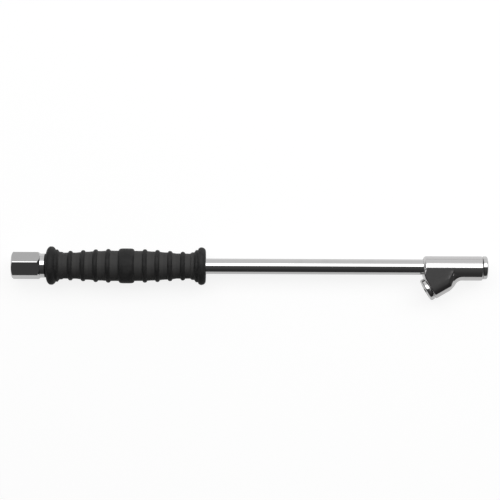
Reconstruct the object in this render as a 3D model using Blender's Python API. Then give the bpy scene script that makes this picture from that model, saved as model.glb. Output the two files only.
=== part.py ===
"""Dual-head tyre inflator lance: a chromed air tube with a ribbed rubber grip, a hexagonal hose inlet at one
end and, at the other, a head with a straight chuck and a chuck that points back at 30 degrees.

Metres, +Z up. The tube lies along X with the inlet at -X. The lance rests on the flanges of its grip, and the
origin is under the middle of its plan. Each chuck holds a spring-loaded plunger that a tyre valve pushes in.
"""

import math

import bmesh
import bpy
from mathutils import Vector

MM = 0.001

# Clearances between pieces that seat on, or inside, one another
SEAT_GAP = 0.3 * MM
FIT_GAP = 0.3 * MM

# Hose inlet: hexagonal coupling, round neck, and a boss that the grip covers
HEX_ACROSS_FLATS = 19.0 * MM
HEX_LENGTH = 21.9 * MM
HEX_CHAMFER = 0.35 * MM
HEX_REAR_ANGLE = math.radians(32)
HEX_NECK_ANGLE = math.radians(50)
HEX_TURN = math.radians(15.4)
INLET_BORE = 11.45 * MM
INLET_DEPTH = 12.5 * MM
INLET_LEAD_IN = 0.8 * MM
INLET_WASHER_THICKNESS = 1.5 * MM
FITTING_PASSAGE = 7.0 * MM
NECK_DIAMETER = 18.7 * MM
NECK_LENGTH = 3.6 * MM
NECK_CHAMFER = 0.4 * MM
BOSS_DIAMETER = 16.0 * MM
BOSS_LENGTH = 12.0 * MM
REAR_SOCKET_DEPTH = 14.0 * MM

# Air tube and the sealing rings at its ends
TUBE_DIAMETER = 12.0 * MM
TUBE_WALL = 1.25 * MM
TUBE_EXPOSED = 168.0 * MM
TUBE_EDGE = 0.3 * MM
TUBE_SEAL_THICKNESS = 1.6 * MM

# Rubber grip
FLANGE_SPACING = 116.0 * MM
REAR_FLANGE_RADIUS = 14.83 * MM
REAR_FLANGE_RUN = 4.1 * MM
REAR_FLANGE_DROP = 4.9 * MM
REAR_FLANGE_CROWN = 3.4 * MM
FRONT_FLANGE_RADIUS = 14.5 * MM
FRONT_FLANGE_RUN = 3.4 * MM
FRONT_FLANGE_DROP = 3.0 * MM
FRONT_FLANGE_CROWN = 2.8 * MM
LIP_LENGTH = 0.5 * MM
LIP_RADIUS = 9.6 * MM
STEP_PITCH = 3.2 * MM
STEP_RADII = (12.4 * MM, 10.6 * MM)
CROWN_TO_STEP = 1.32
STEP_SHOULDERS = ((1, -0.12), (0.9, 0.16), (0.12, 0.56))
REAR_THROAT_RADIUS = 9.9 * MM
FRONT_THROAT_RADIUS = 9.55 * MM
BELLY_RADIUS = 11.76 * MM
BELLY_ARC = 410.0 * MM
BELLY_SHIFT = -1.9 * MM
BAND_SHIFT = 0.2 * MM
RIBS_PER_SIDE = 4
FIRST_RIB = 14.2 * MM
RIB_PITCH = 9.75 * MM
RIB_WIDTH = 4.4 * MM
RIB_HEIGHT = 1.42 * MM
RIB_SHOULDERS = ((0, 1), (0.8, 0.55), (1, 0.2))
BAND_WIDTH = 12.6 * MM
BAND_HEIGHT = 1.75 * MM
BAND_SHOULDERS = ((0, 1), (0.8, 0.85), (1, 0.7))

# Chuck head: a barrel in line with the tube and a branch barrel, with a web between them
BARREL_DIAMETER = 18.9 * MM
BARREL_LENGTH = 46.2 * MM
BARREL_DROP = 0.85 * MM
BARREL_CHAMFER = 0.5 * MM
HEAD_EDGE = 1.2 * MM
BRANCH_ANGLE = math.radians(30)
BRANCH_CROSSING = 32.1 * MM
BRANCH_REACH = 34.8 * MM
END_WALL_FOOT = 26.5 * MM
END_WALL_ANGLE = math.radians(66)
END_WALL_DEPTH = 6.4 * MM
END_CORNER_ROUND = 2.3 * MM
FRONT_SOCKET_DEPTH = 8.4 * MM
GALLERY_DIAMETER = 6.4 * MM
STRAIGHT_CHUCK_DROP = 0.3 * MM

# Each chuck, measured inwards from its mouth
CAP_DIAMETER = 17.9 * MM
CAP_FLANGE = 3.1 * MM
CAP_ROUND = 1.3 * MM
CAP_UNDERCUT = 0.2 * MM
CAP_SHANK = 4.5 * MM
MOUTH_BORE = 8.8 * MM
MOUTH_LEAD_IN = 1.2 * MM
CHAMBER_DIAMETER = 12.4 * MM
MOUTH_SEAL_THICKNESS = 2.6 * MM
MOUTH_SEAL_BORE = 5.2 * MM
SEAT_THICKNESS = 2.8 * MM
SEAT_BORE = 4.4 * MM
SEAT_LIP_WIDTH = 0.8 * MM
SEAT_RECESS = 0.4 * MM
SEAT_RING_SECTION = 1.1 * MM
SPRING_CHAMBER_DIAMETER = 10.4 * MM
PORT_DIAMETER = 3.4 * MM
SPRING_LENGTH = 5.2 * MM
SPRING_DIAMETER = 6.8 * MM
SPRING_WIRE = 0.55 * MM
SPRING_ACTIVE_TURNS = 2.5
SPRING_END_TURNS = 0.75
POPPET_SEAL_THICKNESS = 1.4 * MM
POPPET_DIAMETER = 8.4 * MM
POPPET_THICKNESS = 1.2 * MM
STEM_DIAMETER = 2.8 * MM
NOSE_DIAMETER = 3.0 * MM
NOSE_PROUD = 2.1 * MM
NOSE_ROUND = 0.6 * MM
GUIDE_LENGTH = 5.2 * MM
FLUTE_COUNT = 3
FLUTE_DIAMETER = 1.8 * MM
TAIL_LENGTH = 2.3 * MM
TAIL_DIAMETER = 3.0 * MM

# Facets round each kind of piece
METAL_FACETS = 40
GRIP_FACETS = 28
CHUCK_FACETS = 24
SMALL_FACETS = 18
WIRE_FACETS_PER_TURN = 14
MERGE = 0.001 * MM

# Places along the lance: x = 0 is half-way from the inlet face to the straight mouth
GRIP_LENGTH = LIP_LENGTH + REAR_FLANGE_RUN + FLANGE_SPACING + FRONT_FLANGE_RUN
SEAM = CAP_FLANGE + SEAT_GAP
OVERALL_LENGTH = (
    HEX_LENGTH + NECK_LENGTH + SEAT_GAP + GRIP_LENGTH + TUBE_EXPOSED + BARREL_LENGTH + SEAM
)
X_INLET = -OVERALL_LENGTH / 2
X_HEX_END = X_INLET + HEX_LENGTH
X_SHOULDER = X_HEX_END + NECK_LENGTH
X_BOSS_END = X_SHOULDER + BOSS_LENGTH
X_REAR_SOCKET = X_BOSS_END - REAR_SOCKET_DEPTH
X_GRIP = X_SHOULDER + SEAT_GAP
X_GRIP_END = X_GRIP + GRIP_LENGTH
X_HEAD = X_GRIP_END + TUBE_EXPOSED
X_FRONT_SOCKET = X_HEAD + FRONT_SOCKET_DEPTH
X_MOUTH = X_HEAD + BARREL_LENGTH + SEAM
SEAL_SPACE = TUBE_SEAL_THICKNESS + 2 * SEAT_GAP
X_TUBE = X_REAR_SOCKET + SEAL_SPACE
X_TUBE_END = X_FRONT_SOCKET - SEAL_SPACE

# Places inside a chuck, as depths from its mouth
CAP_END = CAP_FLANGE + CAP_SHANK
MOUTH_SEAL_FACE = CAP_END + SEAT_GAP
NOSE_DEPTH = MOUTH_SEAL_FACE - NOSE_PROUD
SEAT_FACE = MOUTH_SEAL_FACE + MOUTH_SEAL_THICKNESS + SEAT_GAP
SEAT_BACK = SEAT_FACE + SEAT_THICKNESS
CHAMBER_STEP = SEAT_BACK + SEAT_GAP
POPPET_SEAL_FACE = SEAT_BACK + SEAT_GAP
POPPET_FACE = POPPET_SEAL_FACE + POPPET_SEAL_THICKNESS + SEAT_GAP
POPPET_BACK = POPPET_FACE + POPPET_THICKNESS
SPRING_FACE = POPPET_BACK + SEAT_GAP
CHAMBER_END = SPRING_FACE + SPRING_LENGTH + SEAT_GAP
GUIDE_END = SEAT_BACK - SEAT_GAP / 3

PORT_END = BRANCH_CROSSING - BARREL_DROP / math.tan(BRANCH_ANGLE)

# The branch barrel in plan, from the point where its axis crosses the barrel's
OUTWARDS = Vector((-math.cos(BRANCH_ANGLE), -math.sin(BRANCH_ANGLE), 0))
CROSSING = Vector((X_HEAD + BRANCH_CROSSING, -BARREL_DROP, 0))
ANGLED_MOUTH = CROSSING + BRANCH_REACH * OUTWARDS
STRAIGHT_MOUTH = Vector((X_MOUTH, -STRAIGHT_CHUCK_DROP, 0))

# Where the tube's axis lies: the flanges touch z = 0 and the plan is centred on the origin
CAP_EDGE_RADIUS = CAP_DIAMETER / 2 - CAP_ROUND
LOWEST_Y = (
    ANGLED_MOUTH.y - CAP_EDGE_RADIUS * math.cos(BRANCH_ANGLE) - CAP_ROUND * (1 - math.sin(BRANCH_ANGLE))
)
AXIS_Y = -(LOWEST_Y + REAR_FLANGE_RADIUS) / 2
AXIS_Z = max(REAR_FLANGE_RADIUS, FRONT_FLANGE_RADIUS)


def clear_scene():
    for obj in list(bpy.data.objects):
        bpy.data.objects.remove(obj)


def finish_of(name, colour, roughness, metallic):
    """A Principled material of that colour."""
    material = bpy.data.materials.new(name)
    material.use_nodes = True
    shader = material.node_tree.nodes["Principled BSDF"]
    shader.inputs["Base Color"].default_value = (*colour, 1.0)
    shader.inputs["Roughness"].default_value = roughness
    shader.inputs["Metallic"].default_value = metallic
    return material


def chrome():
    return finish_of("chrome", (0.80, 0.80, 0.81), 0.08, 1.0)


def black_rubber():
    return finish_of("black_rubber", (0.022, 0.022, 0.023), 0.55, 0.0)


def brass():
    return finish_of("brass", (0.72, 0.53, 0.24), 0.25, 1.0)


def spring_steel():
    return finish_of("spring_steel", (0.56, 0.57, 0.58), 0.3, 1.0)


def add_object(name, mesh, material, parent):
    """The mesh as an object under parent, shaded smooth but for its real edges."""
    mesh.shade_smooth()
    mesh.set_sharp_from_angle(angle=math.radians(32))
    mesh.materials.append(material)
    obj = bpy.data.objects.new(name, mesh)
    bpy.context.scene.collection.objects.link(obj)
    obj.parent = parent
    return obj


def place(obj, origin, direction):
    """Puts obj's origin there, with its local Z along direction and its local Y upwards."""
    obj.location = origin
    obj.rotation_mode = "QUATERNION"
    obj.rotation_quaternion = direction.to_track_quat("Z", "Y")
    return obj


def add_axis(name, parent, origin, direction):
    """An empty whose local Z is an axis of the lance."""
    empty = bpy.data.objects.new(name, None)
    bpy.context.scene.collection.objects.link(empty)
    empty.parent = parent
    return place(empty, origin, direction)


def mesh_from(bm, name):
    bmesh.ops.remove_doubles(bm, verts=bm.verts, dist=MERGE)
    bmesh.ops.recalc_face_normals(bm, faces=bm.faces)
    mesh = bpy.data.meshes.new(name)
    bm.to_mesh(mesh)
    bm.free()
    return mesh


def turned(name, profile, facets):
    """A mesh turned about Z from a closed profile of (radius, height) points. Its axis isn't a line of it."""
    bm = bmesh.new()
    points = [bm.verts.new((radius, 0, height)) for radius, height in profile]
    edges = []
    for first, second in zip(points, points[1:] + points[:1]):
        if first.co.x > 0 or second.co.x > 0:
            edges.append(bm.edges.new((first, second)))
    bmesh.ops.spin(
        bm, geom=points + edges, cent=(0, 0, 0), axis=(0, 0, 1), angle=math.tau, steps=facets, use_merge=True
    )
    return mesh_from(bm, name)


def prism(name, outline, bottom, top):
    """A mesh with that (x, y) outline, from z = bottom to z = top."""
    bm = bmesh.new()
    face = bm.faces.new([bm.verts.new((x, y, bottom)) for x, y in outline])
    raised = bmesh.ops.extrude_face_region(bm, geom=[face])["geom"]
    moved = [item for item in raised if isinstance(item, bmesh.types.BMVert)]
    bmesh.ops.translate(bm, verts=moved, vec=(0, 0, top - bottom))
    return mesh_from(bm, name)


def arc(centre, radii, start, end, steps):
    """Points of an elliptical arc about centre, from start to end in degrees, both ends included."""
    angles = [math.radians(start + (end - start) * i / steps) for i in range(steps + 1)]
    return [
        (centre[0] + radii[0] * math.cos(angle), centre[1] + radii[1] * math.sin(angle)) for angle in angles
    ]


def boolean(target, operation, other):
    """Joins other to target, cuts it away or keeps only what they share. It becomes a hidden guide."""
    modifier = target.modifiers.new(other.name, "BOOLEAN")
    modifier.operation = operation
    modifier.object = other
    modifier.solver = "EXACT"
    other.hide_render = True
    other.display_type = "WIRE"


def settle(obj):
    """Makes the result of obj's modifiers its own mesh, with each flat side one face."""
    bpy.context.view_layer.update()
    shape = bpy.data.meshes.new_from_object(obj.evaluated_get(bpy.context.evaluated_depsgraph_get()))
    obj.modifiers.clear()
    bm = bmesh.new()
    bm.from_mesh(shape)
    bmesh.ops.remove_doubles(bm, verts=bm.verts, dist=MERGE)
    bmesh.ops.dissolve_limit(bm, angle_limit=math.radians(0.1), verts=bm.verts, edges=bm.edges)
    return bm


def rim_edges(bm, point, normal):
    """The outline of the flat side of bm that holds that plane."""
    on_plane = {vert for vert in bm.verts if abs((vert.co - point).dot(normal)) < MERGE}
    flat = [face for face in bm.faces if all(vert in on_plane for vert in face.verts)]
    return {edge for face in flat for edge in face.edges if sum(f in flat for f in edge.link_faces) == 1}


def make_inlet_fitting(lance, metal):
    """Hexagonal coupling with a chamfer at each end, its neck, and the boss that holds the tube."""
    corner = HEX_ACROSS_FLATS / 2 / math.cos(math.pi / 6)
    hexagon = []
    for side in range(6):
        angle = math.pi / 2 - HEX_TURN + side * math.pi / 3
        hexagon.append((corner * math.cos(angle), corner * math.sin(angle)))
    fitting = add_object("inlet_fitting", prism("inlet_fitting", hexagon, 0, HEX_LENGTH), metal, lance)
    place(fitting, (X_INLET, 0, 0), Vector((1, 0, 0)))

    face_radius = HEX_ACROSS_FLATS / 2 - HEX_CHAMFER
    wide = corner + HEX_CHAMFER
    rear = (wide - face_radius) * math.tan(HEX_REAR_ANGLE)
    front = (wide - face_radius) * math.tan(HEX_NECK_ANGLE)
    envelope = [(0, 0), (face_radius, 0), (wide, rear), (wide, HEX_LENGTH - front)]
    envelope += [(face_radius, HEX_LENGTH), (0, HEX_LENGTH)]
    chamfers = add_object("hex_chamfers", turned("hex_chamfers", envelope, METAL_FACETS), metal, fitting)
    boolean(fitting, "INTERSECT", chamfers)

    neck_radius = NECK_DIAMETER / 2
    boss_radius = BOSS_DIAMETER / 2
    shoulder = HEX_LENGTH + NECK_LENGTH
    stem = [(0, HEX_LENGTH / 2), (neck_radius, HEX_LENGTH / 2), (neck_radius, shoulder - NECK_CHAMFER)]
    stem += [(neck_radius - NECK_CHAMFER, shoulder), (boss_radius, shoulder)]
    stem += [(boss_radius, shoulder + BOSS_LENGTH), (0, shoulder + BOSS_LENGTH)]
    neck = add_object("neck_and_boss", turned("neck_and_boss", stem, METAL_FACETS), metal, fitting)
    boolean(fitting, "UNION", neck)

    past = HEX_CHAMFER
    inlet = INLET_BORE / 2
    passage = FITTING_PASSAGE / 2
    socket = TUBE_DIAMETER / 2 + FIT_GAP
    socket_end = X_REAR_SOCKET - X_INLET
    end = shoulder + BOSS_LENGTH
    bore = [(0, -past), (inlet + INLET_LEAD_IN + past, -past), (inlet, INLET_LEAD_IN), (inlet, INLET_DEPTH)]
    bore += [(passage, INLET_DEPTH), (passage, socket_end), (socket, socket_end), (socket, end + past)]
    bore += [(0, end + past)]
    cutter = add_object("fitting_bore", turned("fitting_bore", bore, METAL_FACETS), metal, fitting)
    boolean(fitting, "DIFFERENCE", cutter)


def ring_profile(outer, inner, near, far):
    """A flat ring's section, from depth near to depth far."""
    return [(inner, near), (outer, near), (outer, far), (inner, far)]


def make_inlet_washer(lance, rubber):
    """Sealing washer at the bottom of the threaded inlet."""
    far = INLET_DEPTH - SEAT_GAP
    section = ring_profile(INLET_BORE / 2 - FIT_GAP, FITTING_PASSAGE / 2, far - INLET_WASHER_THICKNESS, far)
    washer = add_object("inlet_washer", turned("inlet_washer", section, CHUCK_FACETS), rubber, lance)
    place(washer, (X_INLET, 0, 0), Vector((1, 0, 0)))


def make_tube(lance, metal):
    """Air tube from the fitting's socket to the head's."""
    outer = TUBE_DIAMETER / 2
    length = X_TUBE_END - X_TUBE
    inner = outer - TUBE_WALL
    section = [(inner, 0), (outer - TUBE_EDGE, 0), (outer, TUBE_EDGE)]
    section += [(outer, length - TUBE_EDGE), (outer - TUBE_EDGE, length), (inner, length)]
    tube = add_object("air_tube", turned("air_tube", section, METAL_FACETS), metal, lance)
    place(tube, (X_TUBE, 0, 0), Vector((1, 0, 0)))


def make_tube_seal(name, lance, rubber, socket_face, into_socket):
    """Ring between the end of the tube and the bottom of its socket."""
    outer = TUBE_DIAMETER / 2
    section = ring_profile(outer, outer - TUBE_WALL, SEAT_GAP, SEAT_GAP + TUBE_SEAL_THICKNESS)
    seal = add_object(name, turned(name, section, CHUCK_FACETS), rubber, lance)
    place(seal, (socket_face, 0, 0), Vector((-into_socket, 0, 0)))


def core_radius(along):
    """The grip's radius between its ribs, that far along from half-way between its flanges."""
    away = min(abs(along - BELLY_SHIFT), BELLY_ARC)
    throat = REAR_THROAT_RADIUS if along < BELLY_SHIFT else FRONT_THROAT_RADIUS
    return max(BELLY_RADIUS - BELLY_ARC + math.sqrt(BELLY_ARC**2 - away**2), throat)


def raised(centre, width, height, shoulders):
    """A moulded rib or band on the core: (radius, along) points from its near foot to its far one.

    Each shoulder is (share of the height, share of the half width), from the foot up to the crest.
    """
    near = [(share, -out) for share, out in shoulders]
    far = [(share, out) for share, out in reversed(shoulders) if out]
    places = [(share * height, centre + out * width / 2) for share, out in near + far]
    return [(core_radius(along) + lift, along) for lift, along in places]


def flange(peak, run, drop, crown, throat, outwards):
    """A thumb flange and its two steps, as (radius, distance outwards) points from the outer face inwards."""
    points = arc((peak - drop, 0), (drop, run), 90, 0, 5)[:-1]
    points += arc((peak - crown, 0), (crown, crown), 0, -62, 3)
    for count, radius in enumerate(STEP_RADII):
        crest = -crown * CROWN_TO_STEP - count * STEP_PITCH
        following = STEP_RADII[count + 1] if count + 1 < len(STEP_RADII) else throat
        for share, into in STEP_SHOULDERS:
            points.append((following + share * (radius - following), crest - into * STEP_PITCH))
    return [(radius, out * outwards) for radius, out in points]


def make_grip(lance, rubber):
    """Moulded sleeve: lip, flange, two steps, ribs and belly band on a barrel-shaped core, steps, flange."""
    half = FLANGE_SPACING / 2
    outline = [(LIP_RADIUS - LIP_LENGTH / 2, -half - REAR_FLANGE_RUN - LIP_LENGTH)]
    outline += [(LIP_RADIUS, -half - REAR_FLANGE_RUN - LIP_LENGTH / 2)]
    rear = flange(
        REAR_FLANGE_RADIUS, REAR_FLANGE_RUN, REAR_FLANGE_DROP, REAR_FLANGE_CROWN, REAR_THROAT_RADIUS, -1
    )
    outline += [(radius, out - half) for radius, out in rear]
    places = [FIRST_RIB + count * RIB_PITCH for count in range(RIBS_PER_SIDE)]
    for offset in sorted([-at for at in places] + [0] + places):
        centre = BAND_SHIFT + offset
        if offset:
            outline += raised(centre, RIB_WIDTH, RIB_HEIGHT, RIB_SHOULDERS)
        else:
            outline += raised(centre, BAND_WIDTH, BAND_HEIGHT, BAND_SHOULDERS)
    front = flange(
        FRONT_FLANGE_RADIUS, FRONT_FLANGE_RUN, FRONT_FLANGE_DROP, FRONT_FLANGE_CROWN, FRONT_THROAT_RADIUS, 1
    )
    outline += [(radius, out + half) for radius, out in reversed(front)]

    tube = TUBE_DIAMETER / 2 + FIT_GAP
    boss = BOSS_DIAMETER / 2 + FIT_GAP
    start = -half - REAR_FLANGE_RUN - LIP_LENGTH
    step = start + BOSS_LENGTH
    outline += [(tube, half + FRONT_FLANGE_RUN), (tube, step), (boss, step), (boss, start)]
    section = [(radius, along - start) for radius, along in outline]
    grip = add_object("rubber_grip", turned("rubber_grip", section, GRIP_FACETS), rubber, lance)
    place(grip, (X_GRIP, 0, 0), Vector((1, 0, 0)))


def branch_plan(beyond):
    """The branch's outline in plan: below the barrel's axis, with its outer corner rounded."""
    axis_y = -BARREL_DROP
    foot = Vector((X_HEAD + END_WALL_FOOT, axis_y - BARREL_DIAMETER / 2))
    down_wall = -Vector((math.cos(END_WALL_ANGLE), math.sin(END_WALL_ANGLE)))
    out_along = OUTWARDS.to_2d()
    across = Vector((-out_along.y, out_along.x))
    side = CROSSING.to_2d() + across * BARREL_DIAMETER / 2
    to_corner = (side - foot).dot(across) / down_wall.dot(across)
    corner = foot + down_wall * to_corner
    turn = END_WALL_ANGLE - BRANCH_ANGLE
    tangent = END_CORNER_ROUND * math.tan(turn / 2)
    centre = corner + out_along * tangent - across * END_CORNER_ROUND
    first = math.degrees(END_WALL_ANGLE) - 90
    rounded = arc(centre, (END_CORNER_ROUND, END_CORNER_ROUND), first, first - math.degrees(turn), 4)
    left = X_HEAD - beyond / 2
    wall_top = foot - down_wall * (axis_y - foot.y) / -down_wall.y
    far = corner + out_along * beyond
    return [(left, axis_y), (left, far.y), tuple(far), *reversed(rounded), tuple(wall_top)]


def make_branch(lance, metal):
    """Branch barrel and web: a half-round running along the branch, ended by a wall that bulges outwards."""
    radius = BARREL_DIAMETER / 2
    length = BRANCH_REACH
    height = (length + radius) * math.tan(BRANCH_ANGLE) + radius
    rounded = arc((0, 0), (radius, radius), -90, 90, METAL_FACETS // 2)
    section = [(-height, -radius), *rounded, (-height, radius)]
    branch = add_object("branch_barrel", prism("branch_barrel", section, -radius, length), metal, lance)
    place(branch, CROSSING, OUTWARDS)

    beyond = BARREL_LENGTH
    thick = radius + END_WALL_DEPTH
    bulge = (radius**2 + END_WALL_DEPTH**2) / (2 * END_WALL_DEPTH)
    spread = math.degrees(math.asin(radius / bulge))
    nose = [(END_WALL_DEPTH, -thick), (beyond, -thick), (beyond, thick), (END_WALL_DEPTH, thick)]
    nose += arc((bulge, 0), (bulge, bulge), 180 - spread, 180 + spread, 12)
    up_wall = Vector((math.cos(END_WALL_ANGLE), math.sin(END_WALL_ANGLE), 0))
    foot = Vector((X_HEAD + END_WALL_FOOT, -BARREL_DROP - radius, 0))
    wall = add_object("branch_end_wall", prism("branch_end_wall", nose, -beyond, beyond), metal, lance)
    place(wall, foot, up_wall)
    boolean(branch, "INTERSECT", wall)

    plan = branch_plan(beyond)
    outline = add_object("branch_outline", prism("branch_outline", plan, -thick, thick), metal, lance)
    boolean(branch, "INTERSECT", outline)
    return branch


def chamber_profile():
    """The bore of one chuck, by depth from its mouth: front bore, spring chamber, and the port it drills."""
    front = CHAMBER_DIAMETER / 2
    rear = SPRING_CHAMBER_DIAMETER / 2
    port = PORT_DIAMETER / 2
    start = SEAM - CAP_SHANK
    profile = [(0, start), (front, start), (front, CHAMBER_STEP), (rear, CHAMBER_STEP), (rear, CHAMBER_END)]
    return profile + [(port, CHAMBER_END), (port, PORT_END), (0, PORT_END)]


def face_head(head, name, point, outwards, metal):
    """Mills head flat at that point, square to the direction outwards."""
    wide = BARREL_LENGTH
    square = [(-wide, -wide), (wide, -wide), (wide, wide), (-wide, wide)]
    block = add_object(name, prism(name, square, 0, wide), metal, head.parent)
    place(block, point, outwards)
    boolean(head, "DIFFERENCE", block)


def make_head(lance, metal, chucks):
    """Barrel, branch and web in one casting, bored for the tube, the gallery and the two chucks."""
    radius = BARREL_DIAMETER / 2
    before = HEAD_EDGE * 4
    shape = [(0, -before), (radius, -before), (radius, BARREL_LENGTH - BARREL_CHAMFER)]
    shape += [(radius - BARREL_CHAMFER, BARREL_LENGTH), (0, BARREL_LENGTH)]
    head = add_object("chuck_head", turned("chuck_head", shape, METAL_FACETS), metal, lance)
    place(head, (X_HEAD, -BARREL_DROP, 0), Vector((1, 0, 0)))
    boolean(head, "UNION", make_branch(lance, metal))

    branch_face = CROSSING + (BRANCH_REACH - SEAM) * OUTWARDS
    face_head(head, "rear_face", Vector((X_HEAD, 0, 0)), Vector((-1, 0, 0)), metal)
    face_head(head, "branch_face", branch_face, OUTWARDS, metal)

    bm = settle(head)
    to_head = head.rotation_quaternion.inverted()
    rear_rim = rim_edges(bm, Vector((0, 0, 0)), Vector((0, 0, 1)))
    branch_rim = rim_edges(bm, to_head @ (branch_face - head.location), to_head @ OUTWARDS)
    bmesh.ops.bevel(
        bm,
        geom=list(rear_rim ^ branch_rim),
        offset=HEAD_EDGE,
        segments=2,
        profile=0.5,
        affect="EDGES",
        clamp_overlap=True,
    )
    rounded = mesh_from(bm, "chuck_head")
    rounded.materials.append(metal)
    rounded.shade_smooth()
    rounded.set_sharp_from_angle(angle=math.radians(32))
    head.data = rounded

    socket = TUBE_DIAMETER / 2 + FIT_GAP
    gallery = GALLERY_DIAMETER / 2
    gallery_end = X_MOUTH - X_HEAD - CHAMBER_END + SEAT_GAP
    drill = [(0, -before), (socket, -before), (socket, FRONT_SOCKET_DEPTH), (gallery, FRONT_SOCKET_DEPTH)]
    drill += [(gallery, gallery_end), (0, gallery_end)]
    bore = add_object("socket_and_gallery", turned("socket_and_gallery", drill, METAL_FACETS), metal, lance)
    place(bore, (X_HEAD, 0, 0), Vector((1, 0, 0)))
    boolean(head, "DIFFERENCE", bore)
    for name, axis in chucks.items():
        chamber = turned(name + "_chamber", chamber_profile(), METAL_FACETS)
        boolean(head, "DIFFERENCE", add_object(name + "_chamber", chamber, metal, axis))


def cap_section():
    """End cap: a flange with a rounded front edge, a screwed shank, and the mouth for the tyre valve."""
    outer = CAP_DIAMETER / 2
    mouth = MOUTH_BORE / 2
    shank = CHAMBER_DIAMETER / 2 - FIT_GAP
    section = [(mouth, CAP_END), (mouth, MOUTH_LEAD_IN), (mouth + MOUTH_LEAD_IN, 0)]
    section += arc((outer - CAP_ROUND, CAP_ROUND), (CAP_ROUND, CAP_ROUND), -90, 0, 3)
    section += [(outer, CAP_FLANGE - CAP_UNDERCUT), (outer - CAP_UNDERCUT, CAP_FLANGE), (shank, CAP_FLANGE)]
    section += [(shank, CAP_END - CAP_UNDERCUT), (shank - CAP_UNDERCUT, CAP_END)]
    return section


def seat_section():
    """Valve seat: a disc with a groove for its sealing ring and a raised lip for the poppet at its back."""
    outer = CHAMBER_DIAMETER / 2 - FIT_GAP
    bore = SEAT_BORE / 2
    groove = CHAMBER_DIAMETER / 2 - 2 * FIT_GAP - SEAT_RING_SECTION
    middle = (SEAT_FACE + SEAT_BACK) / 2
    half = SEAT_RING_SECTION / 2 + FIT_GAP
    land = SPRING_CHAMBER_DIAMETER / 2 - FIT_GAP
    lip = bore + SEAT_LIP_WIDTH
    section = [(bore, SEAT_BACK), (bore, SEAT_FACE), (outer, SEAT_FACE), (outer, middle - half)]
    section += [(groove, middle - half), (groove, middle + half), (outer, middle + half), (outer, SEAT_BACK)]
    recess = SEAT_BACK - SEAT_RECESS
    return section + [(land, SEAT_BACK), (land, recess), (lip, recess), (lip, SEAT_BACK)]


def seat_ring_section():
    """The round ring in the seat's groove."""
    half = SEAT_RING_SECTION / 2
    centre = (CHAMBER_DIAMETER / 2 - FIT_GAP - half, (SEAT_FACE + SEAT_BACK) / 2)
    return arc(centre, (half, half), 0, 360, 6)[:-1]


def plunger_section():
    """Plunger: nose, guide, stem, poppet disc and tail."""
    nose = NOSE_DIAMETER / 2
    guide = SEAT_BORE / 2 - FIT_GAP
    stem = STEM_DIAMETER / 2
    poppet = POPPET_DIAMETER / 2
    tail = TAIL_DIAMETER / 2
    tail_end = POPPET_BACK + TAIL_LENGTH
    guide_face = GUIDE_END - GUIDE_LENGTH
    tip = arc((nose - NOSE_ROUND, NOSE_DEPTH + NOSE_ROUND), (NOSE_ROUND, NOSE_ROUND), -90, 0, 3)
    section = [(0, NOSE_DEPTH), *tip, (nose, guide_face - FIT_GAP), (guide, guide_face)]
    section += [(guide, GUIDE_END), (stem, GUIDE_END)]
    section += [(stem, POPPET_FACE), (poppet, POPPET_FACE), (poppet, POPPET_BACK), (tail, POPPET_BACK)]
    section += [(tail, tail_end - FIT_GAP), (tail - FIT_GAP, tail_end), (0, tail_end)]
    return section


def flutes_mesh():
    """The air grooves along the plunger's guide, as one cutter."""
    bm = bmesh.new()
    radius = SEAT_BORE / 2
    groove = FLUTE_DIAMETER / 2
    length = GUIDE_LENGTH + 4 * FIT_GAP
    for count in range(FLUTE_COUNT):
        angle = math.tau * count / FLUTE_COUNT + math.pi / 2
        made = bmesh.ops.create_cone(
            bm, cap_ends=True, segments=10, radius1=groove, radius2=groove, depth=length
        )
        shift = (radius * math.cos(angle), radius * math.sin(angle), GUIDE_END - GUIDE_LENGTH / 2)
        bmesh.ops.translate(bm, verts=made["verts"], vec=shift)
    return mesh_from(bm, "plunger_flutes")


def spring_centreline():
    """Points along the return spring: closed end turns and open turns between them."""
    radius = (SPRING_DIAMETER - SPRING_WIRE) / 2
    closed = SPRING_END_TURNS * SPRING_WIRE
    rise = SPRING_LENGTH - SPRING_WIRE - 2 * closed
    turns = SPRING_ACTIVE_TURNS + 2 * SPRING_END_TURNS
    steps = round(turns * WIRE_FACETS_PER_TURN)
    points = []
    for step in range(steps + 1):
        turn = turns * step / steps
        opened = min(max(turn - SPRING_END_TURNS, 0), SPRING_ACTIVE_TURNS)
        height = opened * rise / SPRING_ACTIVE_TURNS + (turn - opened) * SPRING_WIRE
        angle = math.tau * turn
        depth = SPRING_FACE + SPRING_WIRE / 2 + height
        points.append((radius * math.cos(angle), radius * math.sin(angle), depth))
    return points


def spring_curve():
    """Wire along the spring's centreline."""
    curve = bpy.data.curves.new("return_spring", "CURVE")
    curve.dimensions = "3D"
    curve.bevel_depth = SPRING_WIRE / 2
    curve.bevel_resolution = 1
    curve.use_fill_caps = True
    points = spring_centreline()
    line = curve.splines.new("POLY")
    line.points.add(len(points) - 1)
    for point, place_at in zip(line.points, points):
        point.co = (*place_at, 1)
    return curve


def make_chuck(name, axis, meshes, finishes):
    """The pieces of one chuck, each at the depth that its section gives it."""
    for piece, (mesh, finish) in meshes.items():
        add_object(f"{name}_{piece}", mesh.copy(), finishes[finish], axis)
    flutes = add_object(f"{name}_flutes", flutes_mesh(), finishes["brass"], axis)
    boolean(bpy.data.objects[f"{name}_plunger"], "DIFFERENCE", flutes)
    spring = bpy.data.objects.new(f"{name}_return_spring", spring_curve())
    spring.data.materials.append(finishes["spring_steel"])
    bpy.context.scene.collection.objects.link(spring)
    spring.parent = axis


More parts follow.
